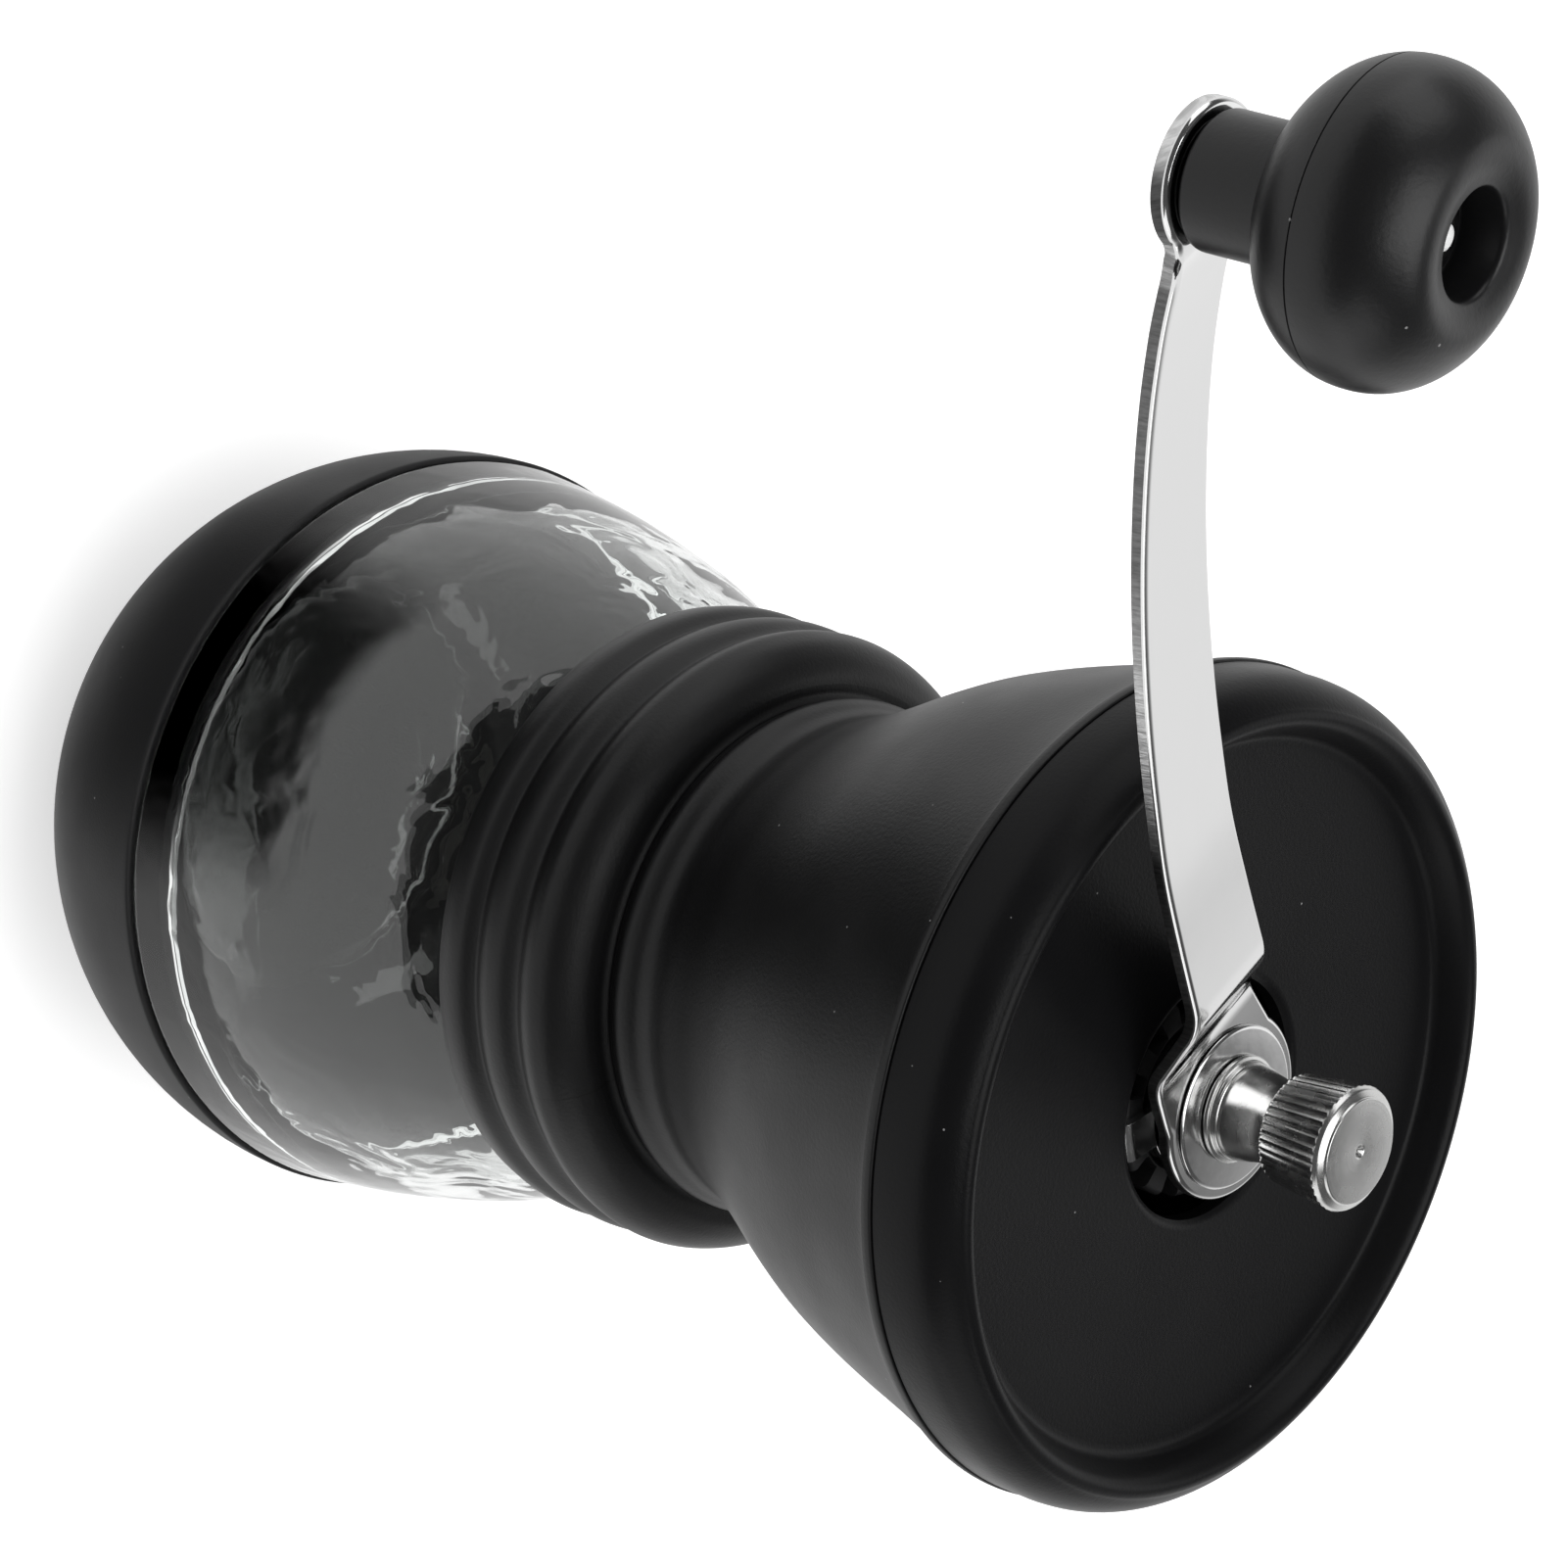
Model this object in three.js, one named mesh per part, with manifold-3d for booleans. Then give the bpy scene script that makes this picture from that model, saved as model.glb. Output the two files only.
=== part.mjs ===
// A hand-cranked coffee grinder: a flared hopper and a ribbed collar on a bulbous glass jar in a rubber cup,
// with a bent steel crank, a turning knob and ceramic burrs.
// Millimetres, +Z up. The origin is the middle of the rubber foot and the crank points along +X.
import * as THREE from "three";
import { mergeVertices } from "three/addons/utils/BufferGeometryUtils.js";
import Module from "manifold-3d";

const wasm = await Module();
wasm.setup();

// Facets round a circle, by how large the piece is
const BIG = 40;
const MEDIUM = 32;
const SMALL = 24;
const TINY = 16;

// Room between pieces that touch, and between pieces that turn
const SEAT = 0.1;
const RUN = 0.06;

// Rubber cup and glass jar
const CUP_R = 46.5;
const CUP_WIDEST_Z = 34.7;
const CUP_HALF_HEIGHT = 45.6;
const CUP_TOP_Z = 36.4;
const CUP_WALL = 2;
const CUP_FLOOR = 3;
const GLASS_WALL = 2.7;
const NECK_R = 31.5;
const NECK_FOOT_Z = 83;
const NECK_TOP_Z = 95.6;

// Screw thread between the neck and the collar
const THREAD_PITCH = 4;
const THREAD_TURNS = 1.25;
const THREAD_DEPTH = 1;
const THREAD_WIDTH = 1.3;
const THREAD_Z = 85.5;

// Collar and hopper
const COLLAR_FOOT_Z = 80.2;
const COLLAR_R = 36.3;
const COLLAR_BORE_R = 33.2;
const COLLAR_WEB_Z = 97.9;
const COLLAR_TOP_Z = 100.3;
const SPIGOT_R = 27;
const RIM_Z = 153.4;
const RIM_R = 44;
const RIM_BORE_R = 41.2;
const THROAT_R = 19.4;
const THROAT_Z = 99;

// Lid
const LID_FOOT_Z = 153.6;
const LID_DISC_Z = 158.6;
const LID_DISC_THICK = 2.2;
const LID_CREST_Z = 162.6;
const LID_HOLE_R = 12.8;
const LID_RECESS_R = 37.4;
const LID_PLUG_R = 40.4;
const LID_PLUG_DEPTH = 3;

// Shaft, bushes and bridges
const SHAFT_R = 3;
const SHAFT_FOOT_Z = 78.6;
const SHAFT_TOP_Z = 172;
const FLATS_Z = 157.9;
const FLATS_ACROSS = 4.8;
const BUSH_R = 4.6;
const TOP_BRIDGE_Z = 142;
const TOP_BRIDGE_HUB_Z = 150.4;
const LOW_BRIDGE_Z = 105;
const LOW_BRIDGE_HUB_Z = 112;
const LOW_BUSH_FOOT_Z = 103.6;

// Burrs
const BURR_RING_R = 22.5;
const BURR_RING_FOOT_Z = 84.2;
const BURR_RING_TOP_Z = 98.7;
const BURR_CONE_R = 16.9;
const BURR_CONE_TOP_R = 8.6;
const BURR_CONE_FOOT_Z = 82.6;
const BURR_CONE_TOP_Z = 96.4;
const BURR_TEETH = 12;
const TOOTH_WIDTH = 2;
const CONE_LEAN = 32;
const HOLDER_R = 26.3;
const HOLDER_FOOT_Z = 82.6;
const SCREW_CIRCLE_R = 24.5;
const SPRING_R = 4.8;
const SPRING_WIRE_R = 0.45;
const SPRING_TURNS = 4;

// Adjusting nut and lock plate
const ADJUSTER_R = 11;
const ADJUSTER_FOOT_Z = 150.8;
const ADJUSTER_TOP_Z = 156.6;
const NOTCHES = 12;
const NOTCH_WIDTH = 2.6;
const PLATE_THICK = 0.9;
const TAB_WIDTH = 4.2;
const TAB_NOTCH = 2;
const NOTCH_START = 10;

// Crank: its hub disc, its bowed blade and the eye that carries the knob
const SHEET = 1.5;
const HUB_R = 9.8;
const HUB_TOP_Z = 161.4;
const RISER_FOOT_X = 10.2;
const RISER_FOOT_HALF = 8;
const BLADE_X = 19;
const BLADE_Z = 168.3;
const BLADE_HALF = 5.65;
const BLADE_END_X = 105;
const BLADE_END_Z = 194.4;
const BLADE_END_HALF = 4.2;
const BLADE_BOW = 4.2;
const NECK_X = 108.9;
const NECK_LINE = [[NECK_X, 196.7], [110.2, 197.5], [111.6, 198.9]];
const NECK_HALF = 4;
const NECK_FLARE_X = 111.8;
const NECK_FLARE_HALF = 5.1;
const EYE_FLAT_X = 112.4;
const KNOB_X = 113.87;
const KNOB_Z = 215;
const KNOB_TILT = 0.137;
const EYE_R = 5.85;
const EYE_H = -15.3;
const PIN_R = 2;

// Knob, with heights measured from its middle along its own axis
const KNOB_R = 11.87;
const KNOB_HALF = 8.63;
const KNOB_SQUARENESS = 2.135;
const KNOB_SPLIT_H = -1.1;
const KNOB_WALL = 2;
const KNOB_HOLE_R = 3.95;
const KNOB_FLOOR_H = 2.6;
const STEM_R = 5.3;
const STEM_FOOT_H = -14.9;

// Thumb nut
const THUMB_FOOT_Z = 162;
const THUMB_FLANGE_R = 5.6;
const THUMB_NECK_R = 4.05;
const THUMB_NECK_Z = 167.4;
const THUMB_GRIP_R = 6.5;
const THUMB_TOP_Z = 177;
const KNURLS = 24;
const KNURL_DEPTH = 0.45;

const rubber = { color: 0x1d1d1e, roughness: 0.8, metalness: 0 };
const glass = { color: 0xdfe6e6, roughness: 0.05, metalness: 0, transparent: true, opacity: 0.35 };
const plastic = { color: 0x222223, roughness: 0.55, metalness: 0 };
const steel = { color: 0xc9cacb, roughness: 0.22, metalness: 1 };
const turned = { color: 0xb4b5b6, roughness: 0.35, metalness: 1 };
const ceramic = { color: 0xf1efe9, roughness: 0.45, metalness: 0 };
const silicone = { color: 0xd8d8d4, roughness: 0.7, metalness: 0 };
const acetal = { color: 0xe9e6dc, roughness: 0.5, metalness: 0 };

const grinder = new THREE.Group();

const onAxis = new THREE.Group();
grinder.add(onAxis);

// The knob's own axis leans a little towards the shaft, square to the crank's eye.
const knobAxis = new THREE.Group();
knobAxis.position.set(KNOB_X, 0, KNOB_Z);
knobAxis.rotation.y = -KNOB_TILT;
grinder.add(knobAxis);

// Adds a named piece made from a solid.
function piece(name, body, look, parent = onAxis) {
  const mesh = body.getMesh();
  const geometry = new THREE.BufferGeometry();
  const place = new Float32Array(mesh.numVert * 3);
  for (let i = 0; i < mesh.numVert; i++) {
    const from = i * mesh.numProp;
    place.set(mesh.vertProperties.subarray(from, from + 3), i * 3);
  }
  geometry.setAttribute("position", new THREE.BufferAttribute(place, 3));
  geometry.setIndex(new THREE.BufferAttribute(new Uint32Array(mesh.triVerts), 1));
  geometry.computeVertexNormals();
  const made = new THREE.Mesh(geometry, new THREE.MeshStandardMaterial(look));
  made.name = name;
  parent.add(made);
}

// Turns a closed three.js geometry into a solid, whichever way its faces point.
function solid(geometry) {
  const plain = geometry.clone();
  plain.deleteAttribute("normal");
  plain.deleteAttribute("uv");
  const merged = mergeVertices(plain, 1e-4);
  const corners = merged.index.array;
  const make = (turn) => {
    const faces = [];
    for (let i = 0; i < corners.length; i += 3) {
      const [a, b, c] = [corners[i], corners[i + 1], corners[i + 2]];
      if (a !== b && b !== c && a !== c) faces.push(a, turn ? c : b, turn ? b : c);
    }
    return new wasm.Manifold(
      new wasm.Mesh({
        numProp: 3,
        vertProperties: new Float32Array(merged.attributes.position.array),
        triVerts: new Uint32Array(faces),
      }),
    );
  };
  const made = make(false);
  return made.volume() > 0 ? made : make(true);
}

// A round solid from an outline of [radius, height] pairs. The outline closes on itself or on the axis.
function turn(outline, facets = SMALL) {
  const points = outline.map(([r, z]) => new THREE.Vector2(r, z));
  const last = points[points.length - 1];
  if (points[0].x > 0 || last.x > 0) points.push(points[0].clone());
  return solid(new THREE.LatheGeometry(points, facets).rotateX(Math.PI / 2));
}

const rod = (r, z0, z1, facets = SMALL) => turn([[0, z0], [r, z0], [r, z1], [0, z1]], facets);

const ring = (r0, r1, z0, z1, facets = SMALL) => turn([[r0, z0], [r1, z0], [r1, z1], [r0, z1]], facets);

function block(x, y, z, at) {
  const geometry = new THREE.BoxGeometry(x, y, z);
  geometry.translate(...at);
  return solid(geometry);
}

// A smooth run of [radius, height] pairs through a few given ones.
function smooth(pairs, count) {
  const curve = new THREE.SplineCurve(pairs.map(([r, z]) => new THREE.Vector2(r, z)));
  return curve.getPoints(count).map((p) => [p.x, p.y]);
}

// An arc of [radius, height] pairs, with its angles in degrees from outwards.
function arc(r, z, radius, from, to, count) {
  return Array.from({ length: count + 1 }, (_, i) => {
    const a = THREE.MathUtils.degToRad(from + ((to - from) * i) / count);
    return [r + radius * Math.cos(a), z + radius * Math.sin(a)];
  });
}

// A flat outline in X and Y as a slab between two heights.
function slab(shape, z0, z1, curveSegments = 8) {
  const depth = z1 - z0;
  const geometry = new THREE.ExtrudeGeometry(shape, { depth, bevelEnabled: false, curveSegments });
  geometry.translate(0, 0, z0);
  return solid(geometry);
}

function spun(body, degrees) {
  return body.rotate([0, 0, degrees]);
}

// A helical ridge on a wall. Depth is outward if positive and inward if negative.
function thread(wallR, depth, z0, turns) {
  const steps = Math.round(24 * turns);
  const root = wallR - Math.sign(depth) * 0.4;
  const crest = wallR + depth;
  const places = [];
  for (let i = 0; i <= steps; i++) {
    const a = (2 * Math.PI * turns * i) / steps;
    const z = z0 + (THREAD_PITCH * turns * i) / steps;
    const fade = Math.min(1, (4 * Math.min(i, steps - i)) / steps + 0.15);
    const tip = root + (crest - root) * fade;
    const half = THREAD_WIDTH / 2;
    const section = [[root, -half], [tip, -half * 0.6], [tip, half * 0.6], [root, half]];
    for (const [r, dz] of section) places.push(r * Math.cos(a), r * Math.sin(a), z + dz);
  }
  const faces = [0, 2, 1, 0, 3, 2];
  for (let i = 0; i < steps; i++) {
    for (let k = 0; k < 4; k++) {
      const a = 4 * i + k;
      const b = 4 * i + ((k + 1) % 4);
      faces.push(a, b, a + 4, b, b + 4, a + 4);
    }
  }
  const end = 4 * steps;
  faces.push(end, end + 1, end + 2, end, end + 2, end + 3);
  const geometry = new THREE.BufferGeometry();
  geometry.setAttribute("position", new THREE.Float32BufferAttribute(places, 3));
  geometry.setIndex(faces);
  return solid(geometry);
}

// Height on the cup's round side gives its radius there, less a wall.
const cupRadius = (z, wall) => {
  const reach = (z - CUP_WIDEST_Z) / (CUP_HALF_HEIGHT - wall);
  return (CUP_R - wall) * Math.sqrt(Math.max(0, 1 - reach * reach));
};

// The cup's side from a low height to a high one, with its points closer together near the foot.
function cupSide(z0, z1, wall, count) {
  return Array.from({ length: count + 1 }, (_, i) => {
    const z = z0 + (z1 - z0) * (1 - Math.cos((Math.PI * i) / (2 * count)));
    return [cupRadius(z, wall), z];
  });
}

function baseCup() {
  const outside = cupSide(0.6, CUP_TOP_Z - 0.4, 0, 7);
  const inside = cupSide(CUP_FLOOR + 0.9, CUP_TOP_Z - 0.3, CUP_WALL, 5).reverse();
  const foot = outside[0][0] - 1;
  const floor = [[cupRadius(CUP_FLOOR, CUP_WALL), CUP_FLOOR], [0, CUP_FLOOR]];
  return turn([[0, 0], [foot, 0], ...outside, [CUP_R - 0.6, CUP_TOP_Z], ...inside, ...floor], BIG);
}

function glassJar() {
  const low = cupSide(CUP_FLOOR + 0.9, CUP_TOP_Z - 0.3, CUP_WALL + 0.5, 5);
  const bulb = smooth(
    [[46.1, 37.6], [44.3, 47.6], [41.2, 60.4], [37.4, 70], [33.5, 77], [NECK_R, NECK_FOOT_Z]],
    8,
  );
  const mouth = NECK_R - GLASS_WALL;
  const lip = [
    [NECK_R, NECK_TOP_Z - 0.8],
    [NECK_R - 0.8, NECK_TOP_Z],
    [mouth + 0.8, NECK_TOP_Z],
    [mouth, NECK_TOP_Z - 0.8],
  ];
  const hollow = smooth([[mouth, NECK_FOOT_Z], [34.8, 69], [38.7, 59.5], [41.7, 47], [41.3, 34]], 5);
  const floor = cupSide(CUP_FLOOR + 4, 28, CUP_WALL + GLASS_WALL + 0.5, 3).reverse();
  const bottom = CUP_FLOOR + SEAT;
  const outline = [[0, bottom], [low[0][0] - 0.8, bottom], ...low, [45.3, CUP_TOP_Z + 0.2], ...bulb, ...lip];
  const jar = turn([...outline, ...hollow, ...floor, [0, bottom + GLASS_WALL + 0.4]], BIG);
  return jar.add(thread(NECK_R, THREAD_DEPTH, THREAD_Z, THREAD_TURNS));
}

// The grip: two soft grooves part three ribs, and the top rib rolls over into a round shoulder.
function collar() {
  const lowRib = [[35.6, 80.3], [COLLAR_R, 81.9], [36.2, 83.6], [35.3, 85.6]];
  const midRib = [[36, 87.6], [36.1, 90], [35.2, 92.2], [35.8, 94.4]];
  const ribs = smooth([...lowRib, ...midRib], 14);
  const shoulder = smooth([[35.75, 95.6], [35.2, 97.2], [34.2, 98.4], [32.4, 99.5], [29.6, 99.9]], 4);
  const outline = [
    [34.9, COLLAR_FOOT_Z],
    ...ribs,
    ...shoulder,
    [28.9, COLLAR_TOP_Z],
    [SPIGOT_R + SEAT, COLLAR_TOP_Z],
    [SPIGOT_R + SEAT, COLLAR_WEB_Z],
    [COLLAR_BORE_R, COLLAR_WEB_Z],
    [COLLAR_BORE_R, COLLAR_FOOT_Z],
  ];
  const grip = turn(outline, BIG);
  return grip.add(thread(COLLAR_BORE_R, -THREAD_DEPTH, THREAD_Z - THREAD_PITCH / 2, THREAD_TURNS));
}

function hopper() {
  const foot = [[29, 100.6], [29.6, 101.7], [29.6, 102.8], [29, 104.2]];
  const flare = smooth(
    [[28.6, 106], [29.4, 109.6], [33, 118.6], [37.6, 128.6], [40.4, 138.6], [42, 145.4], [43.4, 151.8]],
    9,
  );
  const bead = [[43.5, 152.4], [RIM_R, 152.5], [RIM_R, RIM_Z - 0.2], [RIM_R - 0.2, RIM_Z]];
  const lip = [...bead, [RIM_BORE_R, RIM_Z]];
  const hollow = smooth(
    [[40.9, 150], [37.6, 138.6], [34.7, 128.4], [30.2, 118.4], [26.6, 109], [25.7, 104.8]],
    6,
  );
  const throat = [[THROAT_R, 101.4], [THROAT_R, THROAT_Z], [SPIGOT_R, THROAT_Z], [SPIGOT_R, 100.6]];
  let body = turn([...foot, ...flare, ...lip, ...hollow, ...throat], BIG);
  for (let i = 0; i < 3; i++) {
    const hole = rod(1, THROAT_Z - 1, THROAT_Z + 2, TINY).translate([SCREW_CIRCLE_R, 0, 0]);
    body = body.subtract(spun(hole, 120 * i));
  }
  return body;
}

function lid() {
  const crest = arc(38.1, 156.8, 5.9, 12, 76, 5);
  const slope = [[38.6, LID_CREST_Z - 0.5], [37.7, 161], [LID_RECESS_R, 159.6], [36.6, LID_DISC_Z]];
  const inner = smooth(slope, 4);
  const under = LID_DISC_Z - LID_DISC_THICK;
  return turn(
    [
      [LID_HOLE_R, under],
      [LID_PLUG_R - 2, under],
      [LID_PLUG_R - 2, LID_FOOT_Z - LID_PLUG_DEPTH],
      [LID_PLUG_R, LID_FOOT_Z - LID_PLUG_DEPTH],
      [LID_PLUG_R, LID_FOOT_Z],
      [RIM_R, LID_FOOT_Z],
      ...crest,
      ...inner,
      [LID_HOLE_R + 0.5, LID_DISC_Z],
      [LID_HOLE_R, LID_DISC_Z - 0.5],
    ],
    BIG,
  );
}

// A ring with three arms that carries a bush on the shaft.
function bridge(outline, hubR, bore, foot, top, armZ, armHeight) {
  let body = turn(outline, MEDIUM);
  const reach = outline[0][0] + 0.6;
  for (let i = 0; i < 3; i++) {
    const arm = block(reach - hubR + 1, 5, armHeight, [(reach + hubR - 1) / 2, 0, armZ]);
    body = body.add(spun(arm, 60 + 120 * i));
  }
  return body.add(rod(hubR, foot, top, SMALL)).subtract(rod(bore, foot - 1, top + 1, SMALL));
}

function topBridge() {
  const z = TOP_BRIDGE_Z;
  const outline = [[35.6, z], [38, z], [39, z + 4], [36.6, z + 4]];
  return bridge(outline, 8, BUSH_R + SEAT, z - 2, TOP_BRIDGE_HUB_Z - 1.3, z + 2, 4);
}

function lowBridge() {
  const z = LOW_BRIDGE_Z;
  const outline = [[22.6, z], [25.3, z], [25.5, z + 2.5], [22.8, z + 2.5]];
  return bridge(outline, 7, BUSH_R + SEAT, z - 0.6, LOW_BRIDGE_HUB_Z - 1.3, z + 1.3, 2.4);
}

// A flanged bush. The flange is on top.
function bush(foot, top) {
  const bore = SHAFT_R + RUN;
  const flange = [[BUSH_R + 2, top - 1.1], [BUSH_R + 2, top]];
  return turn([[bore, foot], [BUSH_R, foot], [BUSH_R, top - 1.1], ...flange, [bore, top]], SMALL);
}

// Two flats above FLATS_Z take the crank. The rest is round.
function driveShaft() {
  const round = turn(
    [
      [0, SHAFT_FOOT_Z],
      [SHAFT_R - 0.4, SHAFT_FOOT_Z],
      [SHAFT_R, SHAFT_FOOT_Z + 0.4],
      [SHAFT_R, SHAFT_TOP_Z - 0.5],
      [SHAFT_R - 0.5, SHAFT_TOP_Z],
      [0, SHAFT_TOP_Z],
    ],
    SMALL,
  );
  const height = THUMB_FOOT_Z - FLATS_Z;
  const cut = (side) => {
    const y = side * (FLATS_ACROSS / 2 + 2);
    return block(10, 4, height, [0, y, FLATS_Z + height / 2]);
  };
  return round.subtract(cut(1)).subtract(cut(-1));
}

function outerBurr() {
  const outline = [
    [17.4, BURR_RING_FOOT_Z],
    [BURR_RING_R, BURR_RING_FOOT_Z],
    [BURR_RING_R, BURR_RING_TOP_Z],
    [19.4, BURR_RING_TOP_Z],
    [17.7, 88],
  ];
  const ringBody = turn(outline, MEDIUM);
  let cutters;
  for (let i = 0; i < BURR_TEETH; i++) {
    const slot = block(3, TOOTH_WIDTH, 12, [18.6, 0, 94.4]).rotate([0, 0, (360 * i) / BURR_TEETH]);
    cutters = cutters ? cutters.add(slot) : slot;
  }
  return ringBody.subtract(cutters);
}

function innerBurr() {
  const outline = [
    [6.5, BURR_CONE_FOOT_Z],
    [BURR_CONE_R - 0.6, BURR_CONE_FOOT_Z],
    [BURR_CONE_R, BURR_CONE_FOOT_Z + 0.8],
    [BURR_CONE_R, 84.4],
    [15.4, 88],
    [BURR_CONE_TOP_R, BURR_CONE_TOP_Z],
    [6.5, BURR_CONE_TOP_Z],
  ];
  const cone = turn(outline, MEDIUM);
  let cutters;
  for (let i = 0; i < BURR_TEETH; i++) {
    const slot = block(4, TOOTH_WIDTH, 14, [14.4, 0, 3.4]).rotate([0, -CONE_LEAN, 0]);
    const placed = slot.translate([0, 0, 90]).rotate([0, 0, (360 * (i + 0.5)) / BURR_TEETH]);
    cutters = cutters ? cutters.add(placed) : placed;
  }
  return cone.subtract(cutters);
}

function burrCarrier() {
  const bore = SHAFT_R + SEAT;
  const top = BURR_CONE_TOP_Z + 0.6;
  const foot = BURR_CONE_FOOT_Z - 1.7;
  const flange = [[11, foot], [11, foot + 1.6], [6.4, foot + 1.6]];
  return turn([[bore, foot], ...flange, [6.4, top], [bore, top]], SMALL);
}

function burrHolder() {
  const foot = HOLDER_FOOT_Z;
  const wall = BURR_RING_R + SEAT;
  const outline = [
    [20, foot],
    [HOLDER_R, foot],
    [HOLDER_R, THROAT_Z - SEAT],
    [wall, THROAT_Z - SEAT],
    [wall, BURR_RING_FOOT_Z - SEAT],
    [20, BURR_RING_FOOT_Z - SEAT],
  ];
  let body = turn(outline, MEDIUM);
  for (let i = 0; i < 3; i++) {
    const hole = rod(0.95, foot - 1, THROAT_Z + 1, TINY).translate([SCREW_CIRCLE_R, 0, 0]);
    body = body.subtract(spun(hole, 120 * i));
  }
  return body;
}

// A pan-head screw with a cross in its head, driven up from below.
function holderScrew() {
  const head = HOLDER_FOOT_Z - SEAT;
  const shank = 0.85;
  const tip = THROAT_Z + 1.8;
  const pan = [[0, head - 1.2], [1.2, head - 1.2], [1.9, head - 0.6], [1.9, head]];
  const outline = [...pan, [shank, head], [shank, tip], [0, tip]];
  const cross = block(2, 0.4, 1.2, [0, 0, head - 1.2]).add(block(0.4, 2, 1.2, [0, 0, head - 1.2]));
  return turn(outline, TINY).subtract(cross);
}

// A coil spring whose ends lie flat: the rise fades out over the first and last turn.
class SpringPath extends THREE.Curve {
  constructor(z0, z1) {
    super();
    this.low = z0 + SPRING_WIRE_R;
    this.high = z1 - SPRING_WIRE_R;
  }

  getPoint(t, target = new THREE.Vector3()) {
    const a = 2 * Math.PI * SPRING_TURNS * t;
    const rise = THREE.MathUtils.smoothstep(t, 0.04, 0.96);
    const z = this.low + (this.high - this.low) * rise;
    return target.set(SPRING_R * Math.cos(a), SPRING_R * Math.sin(a), z);
  }
}

function burrSpring(foot, top) {
  const section = new THREE.Shape();
  section.absarc(0, 0, SPRING_WIRE_R, 0, 2 * Math.PI, false);
  const extrudePath = new SpringPath(foot, top);
  return solid(new THREE.ExtrudeGeometry(section, { steps: 48, curveSegments: 2, extrudePath }));
}

function shaftClip() {
  const z = BURR_CONE_FOOT_Z - 1.7 - SEAT;
  const gap = block(8, 2.4, 3, [5, 0, z - 0.5]);
  return ring(SHAFT_R + SEAT, 5.2, z - 1, z, SMALL).subtract(gap);
}

// The adjusting nut: a boss on a notched wheel.
function adjustingNut() {
  const bore = SHAFT_R + SEAT;
  const foot = ADJUSTER_FOOT_Z;
  const top = ADJUSTER_TOP_Z;
  const r = ADJUSTER_R;
  const rim = [[r - 0.4, foot], [r, foot + 0.4], [r, top - 0.5], [r - 0.5, top], [8.2, top]];
  const boss = [[7.4, top - 2], [6.2, top - 2], [6.2, top - 0.2], [bore, top - 0.2]];
  let body = turn([[bore, foot], ...rim, ...boss], MEDIUM);
  for (let i = 0; i < NOTCHES; i++) {
    const notch = block(5, NOTCH_WIDTH, 6, [r, 0, top + 0.2]);
    body = body.subtract(spun(notch, (360 * i) / NOTCHES + NOTCH_START));
  }
  return body;
}

// The lock plate lies on the nut and its tab drops into one notch.
function lockPlate() {
  const z = ADJUSTER_TOP_Z + SEAT;
  const top = z + PLATE_THICK;
  const disc = ring(SHAFT_R + 0.25, 7.8, z, top, SMALL);
  const width = Math.min(TAB_WIDTH, NOTCH_WIDTH - 0.4);
  const arm = block(5.4, TAB_WIDTH, PLATE_THICK, [9.3, 0, z + PLATE_THICK / 2]);
  const tab = block(PLATE_THICK, width, 3, [11.5, 0, top - 1.5]);
  const turnTo = (360 * TAB_NOTCH) / NOTCHES + NOTCH_START;
  return disc.add(arm.add(tab).rotate([0, 0, turnTo]));
}

// The crank's side view is a bent line of even thickness; its plan is cut from a second outline.
function crankSideLine() {
  const blade = [];
  for (let i = 0; i <= 9; i++) {
    const t = i / 9;
    const x = BLADE_X + (BLADE_END_X - BLADE_X) * t;
    const z = BLADE_Z + (BLADE_END_Z - BLADE_Z) * t - 4 * BLADE_BOW * t * (1 - t);
    blade.push([x, z]);
  }
  const eyeX = KNOB_X - EYE_H * Math.sin(KNOB_TILT);
  const eyeZ = KNOB_Z + EYE_H * Math.cos(KNOB_TILT);
  const slope = Math.tan(KNOB_TILT);
  const flat = (x) => [x, eyeZ + (x - eyeX) * slope];
  const hub = [[-HUB_R - 1, HUB_TOP_Z], [RISER_FOOT_X, HUB_TOP_Z]];
  return [...hub, ...blade, ...NECK_LINE, flat(EYE_FLAT_X), flat(eyeX + EYE_R + 1)];
}

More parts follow.
